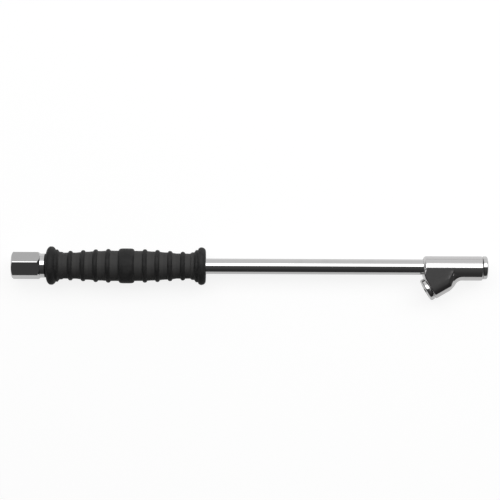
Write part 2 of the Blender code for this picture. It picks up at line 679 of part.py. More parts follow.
def chuck_meshes():
    """The turned pieces of a chuck, by name, each with its finish. Both chucks hold the same ones."""
    seal = CHAMBER_DIAMETER / 2 - FIT_GAP
    seal_back = MOUTH_SEAL_FACE + MOUTH_SEAL_THICKNESS
    mouth_seal = ring_profile(seal, MOUTH_SEAL_BORE / 2, MOUTH_SEAL_FACE, seal_back)
    stem = STEM_DIAMETER / 2 + FIT_GAP
    poppet_seal_back = POPPET_SEAL_FACE + POPPET_SEAL_THICKNESS
    poppet_seal = ring_profile(POPPET_DIAMETER / 2, stem, POPPET_SEAL_FACE, poppet_seal_back)
    sections = {
        "cap": (cap_section(), METAL_FACETS, "chrome"),
        "mouth_seal": (mouth_seal, CHUCK_FACETS, "black_rubber"),
        "valve_seat": (seat_section(), CHUCK_FACETS, "brass"),
        "seat_ring": (seat_ring_section(), CHUCK_FACETS, "black_rubber"),
        "plunger": (plunger_section(), SMALL_FACETS, "brass"),
        "poppet_seal": (poppet_seal, SMALL_FACETS, "black_rubber"),
    }
    return {
        name: (turned(name, section, facets), finish) for name, (section, facets, finish) in sections.items()
    }


def main():
    clear_scene()
    finishes = {
        "chrome": chrome(),
        "black_rubber": black_rubber(),
        "brass": brass(),
        "spring_steel": spring_steel(),
    }
    lance = bpy.data.objects.new("lance", None)
    lance.location = (0, AXIS_Y, AXIS_Z)
    bpy.context.scene.collection.objects.link(lance)
    chucks = {
        "straight": add_axis("straight_chuck_axis", lance, STRAIGHT_MOUTH, Vector((-1, 0, 0))),
        "angled": add_axis("angled_chuck_axis", lance, ANGLED_MOUTH, -OUTWARDS),
    }
    make_inlet_fitting(lance, finishes["chrome"])
    make_inlet_washer(lance, finishes["black_rubber"])
    make_tube(lance, finishes["chrome"])
    make_tube_seal("rear_tube_seal", lance, finishes["black_rubber"], X_REAR_SOCKET, -1)
    make_tube_seal("front_tube_seal", lance, finishes["black_rubber"], X_FRONT_SOCKET, 1)
    make_grip(lance, finishes["black_rubber"])
    make_head(lance, finishes["chrome"], chucks)
    meshes = chuck_meshes()
    for name, axis in chucks.items():
        make_chuck(name, axis, meshes, finishes)


main()
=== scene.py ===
"""Looks of the dual-head tyre inflator lance: chromed coupling, tube and head, rubber grip and two chucks.

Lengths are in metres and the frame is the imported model's: the tube runs along X, the photo looks down -Z.
"""

import logging  # noqa: E402
import math  # noqa: E402
from collections.abc import Callable, Sequence  # noqa: E402
from dataclasses import dataclass, field  # noqa: E402
from enum import Enum  # noqa: E402
from typing import Any  # noqa: E402

import bmesh  # noqa: E402
import bpy  # noqa: E402
import numpy as np  # noqa: E402
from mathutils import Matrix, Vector  # noqa: E402


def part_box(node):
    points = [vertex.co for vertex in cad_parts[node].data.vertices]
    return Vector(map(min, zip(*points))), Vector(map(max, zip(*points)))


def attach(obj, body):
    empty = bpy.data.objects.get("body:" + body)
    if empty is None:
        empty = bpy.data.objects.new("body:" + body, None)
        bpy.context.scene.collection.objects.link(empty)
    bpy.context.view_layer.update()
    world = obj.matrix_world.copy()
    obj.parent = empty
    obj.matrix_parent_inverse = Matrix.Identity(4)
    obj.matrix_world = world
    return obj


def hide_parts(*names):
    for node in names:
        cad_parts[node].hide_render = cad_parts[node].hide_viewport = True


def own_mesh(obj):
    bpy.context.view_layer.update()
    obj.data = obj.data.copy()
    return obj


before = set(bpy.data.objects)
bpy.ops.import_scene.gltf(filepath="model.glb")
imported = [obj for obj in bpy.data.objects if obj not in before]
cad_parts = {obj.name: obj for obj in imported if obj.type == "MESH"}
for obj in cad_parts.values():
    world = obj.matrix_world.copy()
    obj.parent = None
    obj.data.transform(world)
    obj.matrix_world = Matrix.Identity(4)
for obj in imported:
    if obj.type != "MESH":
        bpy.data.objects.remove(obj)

LOG = logging.getLogger("lance")
MM = 0.001
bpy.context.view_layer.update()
EXACT_NORMAL = "exact_normal"
PAINTED_SHEEN = "painted_sheen"
MERGE_DISTANCE = 1e-7
CREASE_ANGLE = math.radians(50)
MOST_OF_SIDE = 0.49
LEAST_SLOPE = 0.2
LONGEST_MOVE = 0.2
LEAST_FILLET = 1e-6
TINY = 1e-9

Outline = tuple[np.ndarray, np.ndarray]
Distance = Callable[[np.ndarray], np.ndarray]


class Body(Enum):
    """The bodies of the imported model."""

    LANCE = "lance"
    STRAIGHT_PLUNGER = "straight_plunger_body"
    ANGLED_PLUNGER = "angled_plunger_body"


class Slot(Enum):
    """The record's material slots."""

    CHROME = "chrome"
    RUBBER = "rubber"
    GRIP_RUBBER = "grip_rubber"
    BRASS = "brass"
    SPRING_STEEL = "spring_steel"


class Finish(Enum):
    """The finishes that pieces are dressed in."""

    CHROME = "chrome"
    CAST_CHROME = "cast_chrome"
    BRASS = "brass"
    STEEL = "steel"
    GRIP = "grip"
    SEAL = "seal"


# --------------------------------------------------------------------------------------------------
# Node trees


@dataclass(frozen=True)
class Field:
    """A number that varies over a surface, with the tree that its arithmetic is written into."""

    tree: bpy.types.NodeTree
    socket: bpy.types.NodeSocket

    def math(self, operation: str, *others: "Field | float") -> "Field":
        """Puts this value, then the others, through one Math node.

        Args:
            operation: The node's operation.
            others: Its further inputs, each a field or a plain number.

        Returns:
            The node's result.
        """
        node = self.tree.nodes.new("ShaderNodeMath")
        node.operation = operation
        self.tree.links.new(self.socket, node.inputs[0])
        for place, other in enumerate(others, start=1):
            if isinstance(other, Field):
                self.tree.links.new(other.socket, node.inputs[place])
            else:
                node.inputs[place].default_value = other
        return Field(self.tree, node.outputs[0])

    def __add__(self, other: "Field | float") -> "Field":
        """The sum."""
        return self.math("ADD", other)

    def __sub__(self, other: "Field | float") -> "Field":
        """The difference."""
        return self.math("SUBTRACT", other)

    def __mul__(self, other: "Field | float") -> "Field":
        """The product."""
        return self.math("MULTIPLY", other)

    def __truediv__(self, other: "Field | float") -> "Field":
        """The quotient."""
        return self.math("DIVIDE", other)

    def negative(self) -> "Field":
        """The same value with its sign turned."""
        return self.math("MULTIPLY", -1.0)

    def step(self, low: "Field | float", high: "Field | float") -> "Field":
        """Eases from 0 at low to 1 at high.

        Args:
            low: Where the rise starts.
            high: Where it ends.

        Returns:
            The eased value, held at 0 before low and at 1 after high.
        """
        node = self.tree.nodes.new("ShaderNodeMapRange")
        node.interpolation_type = "SMOOTHSTEP"
        self.tree.links.new(self.socket, node.inputs["Value"])
        for name, value in (("From Min", low), ("From Max", high)):
            if isinstance(value, Field):
                self.tree.links.new(value.socket, node.inputs[name])
            else:
                node.inputs[name].default_value = value
        return Field(self.tree, node.outputs["Result"])

    def blend(self, low: "Field | float", high: "Field | float") -> "Field":
        """Low where this value is 0 and high where it is 1.

        Args:
            low: The value at 0.
            high: The value at 1.

        Returns:
            The value between them.
        """
        rest = (self * -1.0) + 1.0
        return rest * low + self * high


def add_node(tree: bpy.types.NodeTree, kind: str, **values: Any) -> bpy.types.Node:
    """Adds a node and sets its properties.

    Args:
        tree: The tree it goes in.
        kind: The node's type.
        values: Its properties by name.

    Returns:
        The node.
    """
    node = tree.nodes.new(kind)
    for name, value in values.items():
        setattr(node, name, value)
    return node


def feed(tree: bpy.types.NodeTree, node: bpy.types.Node, **sources: Any) -> bpy.types.Node:
    """Sets a node's inputs from sockets or plain values.

    Args:
        tree: The tree that holds the node.
        node: The node.
        sources: Input names, with _ for a space, and what each gets.

    Returns:
        The same node.
    """
    for name, source in sources.items():
        socket = node.inputs[name.replace("_", " ")]
        if isinstance(source, Field):
            source = source.socket
        if isinstance(source, bpy.types.NodeSocket):
            tree.links.new(source, socket)
        else:
            socket.default_value = source
    return node


def new_group(
    name: str, kind: str, inputs: Sequence[tuple], outputs: Sequence[tuple[str, str]]
) -> bpy.types.NodeTree:
    """Makes a node group with its sockets.

    Args:
        name: The group's name.
        kind: ShaderNodeTree or GeometryNodeTree.
        inputs: Name, socket type and default of each input.
        outputs: Name and socket type of each output.

    Returns:
        The group.
    """
    tree = bpy.data.node_groups.new(name, kind)
    for label, socket_type, default in inputs:
        socket = tree.interface.new_socket(label, in_out="INPUT", socket_type=socket_type)
        if default is not None:
            socket.default_value = default
    for label, socket_type in outputs:
        tree.interface.new_socket(label, in_out="OUTPUT", socket_type=socket_type)
    return tree


FLOAT = "NodeSocketFloat"
VECTOR = "NodeSocketVector"
GEOMETRY = "NodeSocketGeometry"


def noise(
    tree: bpy.types.NodeTree, where: Any, scale: float, detail: float, roughness: float = 0.5
) -> Field:
    """A noise texture in the range 0 to 1.

    Args:
        tree: The tree it goes in.
        where: The coordinates' socket.
        scale: Waves per metre.
        detail: Octaves.
        roughness: How much the finer octaves weigh.

    Returns:
        The noise.
    """
    node = add_node(tree, "ShaderNodeTexNoise")
    feed(tree, node, Vector=where, Scale=scale, Detail=detail, Roughness=roughness)
    return Field(tree, node.outputs["Fac"])


def stretched(tree: bpy.types.NodeTree, where: Any, factors: Sequence[float]) -> bpy.types.NodeSocket:
    """Coordinates scaled by a factor along each axis, so that a pattern on them is drawn out.

    Args:
        tree: The tree it goes in.
        where: The coordinates' socket.
        factors: One factor for each axis.

    Returns:
        The scaled coordinates.
    """
    node = add_node(tree, "ShaderNodeMapping")
    feed(tree, node, Vector=where, Scale=tuple(factors))
    return node.outputs["Vector"]


@dataclass
class SharedEffects:
    """Node groups that several finishes use. Scales are in waves per metre; a fade is a pair of limits."""

    wipe_stretch: tuple[float, float, float] = (1.0, 14.0, 14.0)
    wipe_scale: float = 260.0
    wipe_fade: tuple[float, float] = (0.35, 0.8)
    finger_scale: float = 55.0
    finger_fade: tuple[float, float] = (0.56, 0.72)
    ridge_stretch: tuple[float, float, float] = (1.0, 3.0, 3.0)
    ridge_scale: float = 900.0
    ridge_fade: tuple[float, float] = (0.45, 0.6)
    ridge_share: float = 0.6
    wave_scale: float = 90.0
    wave_height: float = 0.05 * MM
    grain_scale: float = 2600.0
    grain_softness: float = 0.6
    grain_share: float = 0.45
    uneven_scale: float = 420.0
    grain_height: float = 0.06 * MM
    film_scale: float = 130.0
    film_fade: tuple[float, float] = (0.38, 0.75)
    speck_scale: float = 2300.0
    speck_fade: tuple[float, float] = (0.68, 0.76)

    def __post_init__(self) -> None:
        """Builds each group once."""
        self.polish = self._polish()
        self.grain = self._grain()
        self.dust = self._dust()

    def _polish(self) -> bpy.types.NodeTree:
        """Plated metal: wipe marks and finger marks in the roughness, a little waviness in the normal.

        Returns:
            The group.
        """
        tree = new_group(
            "polish_marks",
            "ShaderNodeTree",
            [
                ("Vector", VECTOR, None),
                ("Wipe", FLOAT, 0.02),
                ("Marks", FLOAT, 0.05),
                ("Waviness", FLOAT, 0.1),
                ("Roughness", FLOAT, 0.05),
            ],
            [("Roughness", FLOAT), ("Normal", VECTOR), ("Marks", FLOAT)],
        )
        given = add_node(tree, "NodeGroupInput").outputs
        out = add_node(tree, "NodeGroupOutput")
        along = stretched(tree, given["Vector"], self.wipe_stretch)
        wipe = noise(tree, along, self.wipe_scale, 6.0, 0.7).step(*self.wipe_fade)
        patches = noise(tree, given["Vector"], self.finger_scale, 4.0, 0.6).step(*self.finger_fade)
        across = stretched(tree, given["Vector"], self.ridge_stretch)
        ridges = noise(tree, across, self.ridge_scale, 2.0).step(*self.ridge_fade)
        marks = patches * (ridges * self.ridge_share + (1 - self.ridge_share))
        roughness = wipe * Field(tree, given["Wipe"]) + Field(tree, given["Roughness"])
        roughness = roughness + marks * Field(tree, given["Marks"])
        wave = noise(tree, given["Vector"], self.wave_scale, 1.0)
        bump = add_node(tree, "ShaderNodeBump")
        feed(tree, bump, Strength=given["Waviness"], Distance=self.wave_height, Height=wave)
        tree.links.new(roughness.socket, out.inputs["Roughness"])
        tree.links.new(bump.outputs["Normal"], out.inputs["Normal"])
        tree.links.new(marks.socket, out.inputs["Marks"])
        return tree

    def _grain(self) -> bpy.types.NodeTree:
        """Moulded rubber: a fine spark-eroded grain with larger, shallower unevenness under it.

        Returns:
            The group.
        """
        tree = new_group(
            "moulded_grain",
            "ShaderNodeTree",
            [("Vector", VECTOR, None), ("Scale", FLOAT, 1.0), ("Strength", FLOAT, 0.5)],
            [("Normal", VECTOR)],
        )
        given = add_node(tree, "NodeGroupInput").outputs
        out = add_node(tree, "NodeGroupOutput")
        cells = add_node(tree, "ShaderNodeTexVoronoi", feature="SMOOTH_F1")
        scale = Field(tree, given["Scale"]) * self.grain_scale
        feed(tree, cells, Vector=given["Vector"], Scale=scale, Smoothness=self.grain_softness)
        fine = Field(tree, cells.outputs["Distance"])
        height = fine * self.grain_share + noise(tree, given["Vector"], self.uneven_scale, 5.0, 0.6)
        bump = add_node(tree, "ShaderNodeBump")
        feed(tree, bump, Strength=given["Strength"], Distance=self.grain_height, Height=height)
        tree.links.new(bump.outputs["Normal"], out.inputs["Normal"])
        return tree

    def _dust(self) -> bpy.types.NodeTree:
        """A thin uneven film of dust, with a few specks. It puts out a mask.

        Returns:
            The group.
        """
        tree = new_group(
            "dust_film",
            "ShaderNodeTree",
            [("Vector", VECTOR, None), ("Film", FLOAT, 0.3), ("Specks", FLOAT, 0.3)],
            [("Mask", FLOAT)],
        )
        given = add_node(tree, "NodeGroupInput").outputs
        out = add_node(tree, "NodeGroupOutput")
        film = noise(tree, given["Vector"], self.film_scale, 5.0, 0.65).step(*self.film_fade)
        specks = noise(tree, given["Vector"], self.speck_scale, 2.0).step(*self.speck_fade)
        mask = film * Field(tree, given["Film"]) + specks * Field(tree, given["Specks"])
        tree.links.new(mask.math("MINIMUM", 1.0).socket, out.inputs["Mask"])
        return tree


# --------------------------------------------------------------------------------------------------
# Finishes


def start_material(name: str) -> tuple[bpy.types.Material, bpy.types.Node, bpy.types.NodeSocket]:
    """A material with its Principled shader and the object's coordinates.

    Args:
        name: The material's name.

    Returns:
        The material, the shader node and the Object coordinates' socket.
    """
    material = bpy.data.materials.new(name)
    material.use_nodes = True
    tree = material.node_tree
    shader = tree.nodes["Principled BSDF"]
    place = add_node(tree, "ShaderNodeTexCoord").outputs["Object"]
    return material, shader, place


def place_group(tree: bpy.types.NodeTree, group: bpy.types.NodeTree, **sources: Any) -> bpy.types.Node:
    """Puts a shared group in a material.

    Args:
        tree: The material's tree.
        group: The shared group.
        sources: Its inputs.

    Returns:
        The group node.
    """
    node = add_node(tree, "ShaderNodeGroup", node_tree=group)
    return feed(tree, node, **sources)


def tint(
    tree: bpy.types.NodeTree, mask: bpy.types.NodeSocket, first: Sequence[float], second: Sequence[float]
) -> bpy.types.NodeSocket:
    """A colour between two, by a mask.

    Args:
        tree: The material's tree.
        mask: 0 for the first colour and 1 for the second.
        first: Linear red, green and blue.
        second: Linear red, green and blue.

    Returns:
        The colour's socket.
    """
    node = add_node(tree, "ShaderNodeMix", data_type="RGBA")
    tree.links.new(mask, node.inputs["Factor"])
    node.inputs[6].default_value = (*first, 1.0)
    node.inputs[7].default_value = (*second, 1.0)
    return node.outputs[2]


@dataclass(frozen=True)
class PlatedMetal:
    """Bright chromium or another polished metal."""

    name: str
    colour: tuple[float, float, float]
    dulled: tuple[float, float, float]
    roughness: float
    wipe: float
    marks: float
    waviness: float

    def build(self, effects: SharedEffects) -> bpy.types.Material:
        """Builds the material.

        Args:
            effects: The shared node groups.

        Returns:
            The material.
        """
        material, shader, place = start_material(self.name)
        tree = material.node_tree
        polish = place_group(
            tree,
            effects.polish,
            Vector=place,
            Wipe=self.wipe,
            Marks=self.marks,
            Waviness=self.waviness,
            Roughness=self.roughness,
        )
        shader.inputs["Metallic"].default_value = 1.0
        colour = tint(tree, polish.outputs["Marks"], self.colour, self.dulled)
        tree.links.new(colour, shader.inputs["Base Color"])
        tree.links.new(polish.outputs["Roughness"], shader.inputs["Roughness"])
        tree.links.new(polish.outputs["Normal"], shader.inputs["Normal"])
        return material


@dataclass(frozen=True)
class MouldedRubber:
    """Black rubber from a mould, with a dust film; on the grip also a painted sheen, a lighter tone beside
    the ribs that stands for light on the rubber.
    """

    name: str
    colour: tuple[float, float, float]
    dust_and_sheen_colour: tuple[float, float, float]
    roughness: float
    dust_and_sheen_roughness: float
    grain: float
    grain_scale: float
    film: float
    specks: float
    refraction: float = 1.3

    def build(self, effects: SharedEffects) -> bpy.types.Material:
        """Builds the material.

        Args:
            effects: The shared node groups.

        Returns:
            The material.
        """
        material, shader, place = start_material(self.name)
        tree = material.node_tree
        film = place_group(tree, effects.dust, Vector=place, Film=self.film, Specks=self.specks)
        grain = place_group(tree, effects.grain, Vector=place, Scale=self.grain_scale, Strength=self.grain)
        # Painted sheen: the grip's lighter tone beside its ribs stands for light on the rubber. The mask
        # below holds this painted sheen together with the real dust film.
        painted_sheen = Field(tree, add_node(tree, "ShaderNodeAttribute", attribute_name=PAINTED_SHEEN).outputs["Fac"])
        dust = painted_sheen.math("MAXIMUM", Field(tree, film.outputs["Mask"]))
        tree.links.new(tint(tree, dust.socket, self.colour, self.dust_and_sheen_colour), shader.inputs["Base Color"])
        roughness = dust.blend(self.roughness, self.dust_and_sheen_roughness)
        tree.links.new(roughness.socket, shader.inputs["Roughness"])
        tree.links.new(grain.outputs["Normal"], shader.inputs["Normal"])
        shader.inputs["IOR"].default_value = self.refraction
        return material


BRIGHT_CHROME = PlatedMetal(
    name="bright_chrome",
    colour=(0.58, 0.578, 0.578),
    dulled=(0.545, 0.543, 0.543),
    roughness=0.035,
    wipe=0.012,
    marks=0.02,
    waviness=0.05,
)
CHROMED_CASTING = PlatedMetal(
    name="chromed_casting",
    colour=(0.582, 0.575, 0.577),
    dulled=(0.547, 0.541, 0.543),
    roughness=0.085,
    wipe=0.02,
    marks=0.03,
    waviness=0.28,
)
TURNED_BRASS = PlatedMetal(
    name="turned_brass",
    colour=(0.78, 0.57, 0.26),
    dulled=(0.55, 0.38, 0.16),
    roughness=0.18,
    wipe=0.1,
    marks=0.12,
    waviness=0.1,
)
SPRING_STEEL = PlatedMetal(
    name="spring_steel",
    colour=(0.5, 0.51, 0.52),
    dulled=(0.36, 0.36, 0.36),
    roughness=0.22,
    wipe=0.08,
    marks=0.08,
    waviness=0.1,
)
GRIP_RUBBER = MouldedRubber(
    name="grip_rubber",
    colour=(0.0195, 0.0195, 0.0197),
    # Tone of the dust film, and of the painted sheen beside the ribs.
    dust_and_sheen_colour=(0.063, 0.062, 0.0612),
    roughness=0.64,
    dust_and_sheen_roughness=0.7,
    grain=0.5,
    grain_scale=1.0,
    film=0.4,
    specks=0.25,
)
SEAL_RUBBER = MouldedRubber(
    name="seal_rubber",
    colour=(0.016, 0.016, 0.017),
    dust_and_sheen_colour=(0.05, 0.048, 0.045),
    roughness=0.5,
    dust_and_sheen_roughness=0.7,
    grain=0.35,
    grain_scale=2.0,
    film=0.3,
    specks=0.4,
)
RECIPES: dict[Finish, PlatedMetal | MouldedRubber] = {
    Finish.CHROME: BRIGHT_CHROME,
    Finish.CAST_CHROME: CHROMED_CASTING,
    Finish.BRASS: TURNED_BRASS,
    Finish.STEEL: SPRING_STEEL,
    Finish.GRIP: GRIP_RUBBER,
    Finish.SEAL: SEAL_RUBBER,
}
Materials = dict[Finish, bpy.types.Material]


# --------------------------------------------------------------------------------------------------
# Mesh tools


@dataclass(frozen=True)
class Axis:
    """A line that pieces are turned about: depth runs along it, and up is square to it."""

    origin: Vector
    direction: Vector
    up: Vector = field(default_factory=lambda: Vector((0, 0, 1)))

    def place(self, depth: np.ndarray, side: np.ndarray, rise: np.ndarray) -> np.ndarray:
        """World coordinates of points given along the axis, sideways and upwards.

        Args:
            depth: Distances along the axis.
            side: Distances to its side.
            rise: Distances along up.

        Returns:
            An array with one row of x, y and z for each point.
        """
        return np.array(self.origin) + self.turn(depth, side, rise)

    def turn(self, depth: np.ndarray, side: np.ndarray, rise: np.ndarray) -> np.ndarray:
        """World directions of vectors given along the axis, sideways and upwards.

        Args:
            depth: Their parts along the axis.
            side: Their parts to its side.
            rise: Their parts along up.

        Returns:
            An array with one row of x, y and z for each vector.
        """
        sideways = np.array(self.up.cross(self.direction))
        parts = (depth[..., None] * np.array(self.direction), side[..., None] * sideways)
        return parts[0] + parts[1] + rise[..., None] * np.array(self.up)


def rounded_outline(corners: Sequence[tuple[float, float, float]], steps: int = 6) -> Outline:
    """A closed outline with each corner rounded, and the outward normal at each of its points.

    Args:
        corners: Depth, radius and corner rounding of each corner, in order.
        steps: Chords in each rounded corner.

    Returns:
        Points and normals, as arrays of (depth, radius).
    """
    spots = [np.array(corner[:2]) for corner in corners]
    area = sum(a[0] * b[1] - a[1] * b[0] for a, b in zip(spots, spots[1:] + spots[:1]))
    side = 1.0 if area > 0 else -1.0
    points: list[np.ndarray] = []
    normals: list[np.ndarray] = []
    for index, (spot, corner) in enumerate(zip(spots, corners)):
        before, after = spots[index - 1], spots[(index + 1) % len(spots)]
        run_in, run_out = np.linalg.norm(spot - before), np.linalg.norm(after - spot)
        heading, leaving = (spot - before) / run_in, (after - spot) / run_out
        turn = math.atan2(heading[0] * leaving[1] - heading[1] * leaving[0], float(heading @ leaving))
        reach = corner[2] * math.tan(abs(turn) / 2)
        reach = min(reach, MOST_OF_SIDE * run_in, MOST_OF_SIDE * run_out)
        count = steps if reach > 0 else 0
        radius = reach / math.tan(abs(turn) / 2) if count else 0.0
        bend = math.copysign(radius, turn)
        left = np.array((-heading[1], heading[0]))
        centre = spot - heading * reach + left * bend
        for chord in range(count + 1):
            angle = turn * (chord / count if count else 0.5)
            cos, sin = math.cos(angle), math.sin(angle)
            ahead = np.array((heading[0] * cos - heading[1] * sin, heading[0] * sin + heading[1] * cos))
            outward = side * np.array((ahead[1], -ahead[0]))
            points.append(centre - bend * np.array((-ahead[1], ahead[0])) if count else spot)
            normals.append(outward)
    return np.array(points), np.array(normals)


def finish_mesh(name: str, points: np.ndarray, normals: np.ndarray, faces: np.ndarray) -> bpy.types.Object:
    """An object from points, their exact normals and four-sided faces, closed and facing outwards.

    Args:
        name: The piece's name.
        points: One row of x, y and z for each vertex.
        normals: The surface's true direction at each vertex.
        faces: Four vertex numbers for each face.

    Returns:
        The object, smooth-shaded with those normals.
    """
    mesh = bpy.data.meshes.new(name)
    mesh.from_pydata(points.tolist(), [], faces.tolist())
    layer = mesh.attributes.new(EXACT_NORMAL, "FLOAT_VECTOR", "POINT")
    layer.data.foreach_set("vector", normals.astype(np.float32).ravel())
    bm = bmesh.new()
    bm.from_mesh(mesh)
    bmesh.ops.remove_doubles(bm, verts=bm.verts, dist=MERGE_DISTANCE)
    loose = [edge for edge in bm.edges if not edge.link_faces]
    bmesh.ops.delete(bm, geom=loose, context="EDGES")
    bmesh.ops.recalc_face_normals(bm, faces=bm.faces)
    bm.to_mesh(mesh)
    bm.free()
    kept = np.zeros(len(mesh.vertices) * 3, np.float32)
    mesh.attributes[EXACT_NORMAL].data.foreach_get("vector", kept)
    mesh.attributes.remove(mesh.attributes[EXACT_NORMAL])
    mesh.shade_smooth()
    mesh.normals_split_custom_set_from_vertices(kept.reshape(-1, 3).tolist())
    obj = bpy.data.objects.new(name, mesh)
    bpy.context.scene.collection.objects.link(obj)
    return obj


def ring_faces(rows: int, columns: int) -> np.ndarray:
    """Faces of a sheet of rows by columns that closes on itself both ways.

    Args:
        rows: Vertices along the sheet.
        columns: Vertices round it.

    Returns:
        Four vertex numbers for each face.
    """
    row, column = np.meshgrid(np.arange(rows), np.arange(columns), indexing="ij")
    below, beside = (row + 1) % rows, (column + 1) % columns
    corners = ((row, column), (below, column), (below, beside), (row, beside))
    return np.stack([(down * columns + along).ravel() for down, along in corners], axis=1)


def turned_piece(
    name: str, axis: Axis, outline: Outline, columns: int, reach: np.ndarray | None = None
) -> bpy.types.Object:
    """A piece turned about an axis.

    Args:
        name: The piece's name.
        axis: The axis, with depth 0 at its origin.
        outline: Points and normals of its section.
        columns: Facets round it.
        reach: The greatest radius at each point of the section and each facet, where it has grooves.

    Returns:
        The object.
    """
    points, normals = outline
    angle = np.linspace(0, math.tau, columns, endpoint=False)[None, :]
    cos, sin = np.cos(angle), np.sin(angle)
    radius = np.maximum(points[:, 1:], 0.0)
    if reach is not None:
        radius = np.minimum(radius, reach)
    depth = np.broadcast_to(points[:, :1], (len(points), columns))
    slope = np.broadcast_to(normals[:, :1], depth.shape)
    places = axis.place(depth, radius * cos, radius * sin).reshape(-1, 3)
    directions = axis.turn(slope, normals[:, 1:] * cos, normals[:, 1:] * sin).reshape(-1, 3)
    return finish_mesh(name, places, directions, ring_faces(len(points), columns))


def surface_net(
    distance: Distance, low: Sequence[float], high: Sequence[float], pitch: float
) -> tuple[np.ndarray, np.ndarray]:
    """Covers the zero surface of a distance function with four-sided faces.

    Args:
        distance: Signed distance at an array of points, negative inside.
        low: Lowest corner of the space to search.
        high: Its highest corner.
        pitch: Size of the search cells.

    Returns:
        Points near the surface and the faces between them.
    """
    axes = [np.arange(a, b + pitch, pitch) for a, b in zip(low, high)]
    grid = np.stack(np.meshgrid(*axes, indexing="ij"), axis=-1)
    value = distance(grid.reshape(-1, 3)).reshape(grid.shape[:3])
    inside = value < 0
    shape = tuple(count - 1 for count in value.shape)
    corners = [(i, j, k) for i in (0, 1) for j in (0, 1) for k in (0, 1)]

    def window(array: np.ndarray, corner: tuple[int, int, int]) -> np.ndarray:
        """The array's values at that corner of every cell."""
        return array[tuple(slice(start, start + count) for start, count in zip(corner, shape))]

    held = sum(window(inside, corner).astype(np.int8) for corner in corners)
    crossed = (held > 0) & (held < 8)
    number = np.full(shape, -1)
    number[crossed] = np.arange(crossed.sum())
    total = np.zeros((crossed.sum(), 3))
    hits = np.zeros((crossed.sum(), 1))
    for first in corners:
        for way in range(3):
            if first[way]:
                continue
            second = tuple(1 if place == way else first[place] for place in range(3))
            a, b = window(value, first)[crossed], window(value, second)[crossed]
            cuts = (a < 0) != (b < 0)
            share = np.where(cuts, a / np.where(cuts, a - b, 1.0), 0.0)[:, None]
            start = window(grid, first)[crossed]
            ahead = np.zeros(3)
            ahead[way] = pitch
            total += np.where(cuts[:, None], start + share * ahead, 0.0)
            hits += cuts[:, None]
    faces = []
    for way in range(3):
        here = tuple(slice(0, -1) if place == way else slice(1, -1) for place in range(3))
        there = tuple(slice(1, None) if place == way else slice(1, -1) for place in range(3))
        change = inside[here] != inside[there]
        spot = np.argwhere(change) + [0 if place == way else 1 for place in range(3)]
        one, two = [place for place in range(3) if place != way]
        around = []
        for back_one, back_two in ((1, 1), (0, 1), (0, 0), (1, 0)):
            cell = spot.copy()
            cell[:, one] -= back_one
            cell[:, two] -= back_two
            around.append(number[tuple(cell.T)])
        faces.append(np.stack(around, axis=1))
    return total / hits, np.concatenate(faces)


def slope_of(distance: Distance, points: np.ndarray, reach: float = 0.02) -> np.ndarray:
    """The gradient of a distance function.

    Args:
        distance: The function.
        points: Where to take it.
        reach: Half the span that each difference is taken over.

    Returns:
        One row for each point.
    """
    parts = []
    for way in np.eye(3) * reach:
        parts.append((distance(points + way) - distance(points - way)) / (2 * reach))
    return np.stack(parts, axis=1)


def settle_on(distance: Distance, points: np.ndarray, rounds: int = 6) -> np.ndarray:
    """Moves points onto the zero surface of a distance function.

    Args:
        distance: The function.
        points: Points near its zero surface.
        rounds: How many times they move.

    Returns:
        The moved points.
    """
    for _ in range(rounds):
        slope = slope_of(distance, points)
        steep = np.maximum((slope**2).sum(axis=1), LEAST_SLOPE)
        move = -(distance(points) / steep)[:, None] * slope
        points = points + np.clip(move, -LONGEST_MOVE, LONGEST_MOVE)
    return points


def round_both(first: np.ndarray, second: np.ndarray, radius: np.ndarray | float) -> np.ndarray:
    """Joins two distances to what both shapes share, with a rounded edge where they cross."""
    outside = np.hypot(np.maximum(first + radius, 0), np.maximum(second + radius, 0))
    return np.minimum(-radius, np.maximum(first, second)) + outside


def round_either(first: np.ndarray, second: np.ndarray, radius: np.ndarray | float) -> np.ndarray:
    """Joins two distances to either shape, with a fillet in the corner between them."""
    inside = np.hypot(np.maximum(radius - first, 0), np.maximum(radius - second, 0))
    return np.maximum(radius, np.minimum(first, second)) - inside


def ease(value: np.ndarray, low: float, high: float) -> np.ndarray:
    """Eases from 0 at low to 1 at high."""
    share = np.clip((value - low) / (high - low), 0, 1)
    return share * share * (3 - 2 * share)


def dress(obj: bpy.types.Object, material: bpy.types.Material, body: Body, node: str) -> None:
    """Gives a piece its finish, its body and the node it stands for.

    Args:
        obj: The piece.
        material: Its finish.
        body: The body it rides on.
        node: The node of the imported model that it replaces.
    """
    obj.data.materials.clear()
    obj.data.materials.append(material)
    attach(obj, body.value)
    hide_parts(node)
    LOG.info("%s: %d faces", obj.name, len(obj.data.polygons))


def finish_node(name: str, material: bpy.types.Material) -> None:
    """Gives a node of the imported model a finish.

    Args:
        name: The node's name.
        material: Its finish.
    """
    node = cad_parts[name]
    node.data.materials.clear()
    node.data.materials.append(material)
    LOG.info("%s: kept", name)


def smooth_outwards(mesh: bpy.types.Mesh) -> None:
    """Turns a closed mesh's faces outwards and shades it smooth between its creases.

    Args:
        mesh: The mesh.
    """
    bm = bmesh.new()
    bm.from_mesh(mesh)
    bmesh.ops.recalc_face_normals(bm, faces=bm.faces)
    bm.to_mesh(mesh)
    bm.free()
    mesh.shade_smooth()
    mesh.set_sharp_from_angle(angle=CREASE_ANGLE)


def close_tree(
    tree: bpy.types.NodeTree, geometry: bpy.types.NodeSocket, finish: bpy.types.NodeSocket
) -> None:
    """Ends a Geometry Nodes tree in Realize Instances and Set Material.

    Args:
        tree: The tree.
        geometry: What it has made.
        finish: The material's socket.
    """
    real = feed(tree, add_node(tree, "GeometryNodeRealizeInstances"), Geometry=geometry)
    paint = add_node(tree, "GeometryNodeSetMaterial")
    feed(tree, paint, Geometry=real.outputs["Geometry"], Material=finish)
    tree.links.new(paint.outputs["Geometry"], add_node(tree, "NodeGroupOutput").inputs[0])


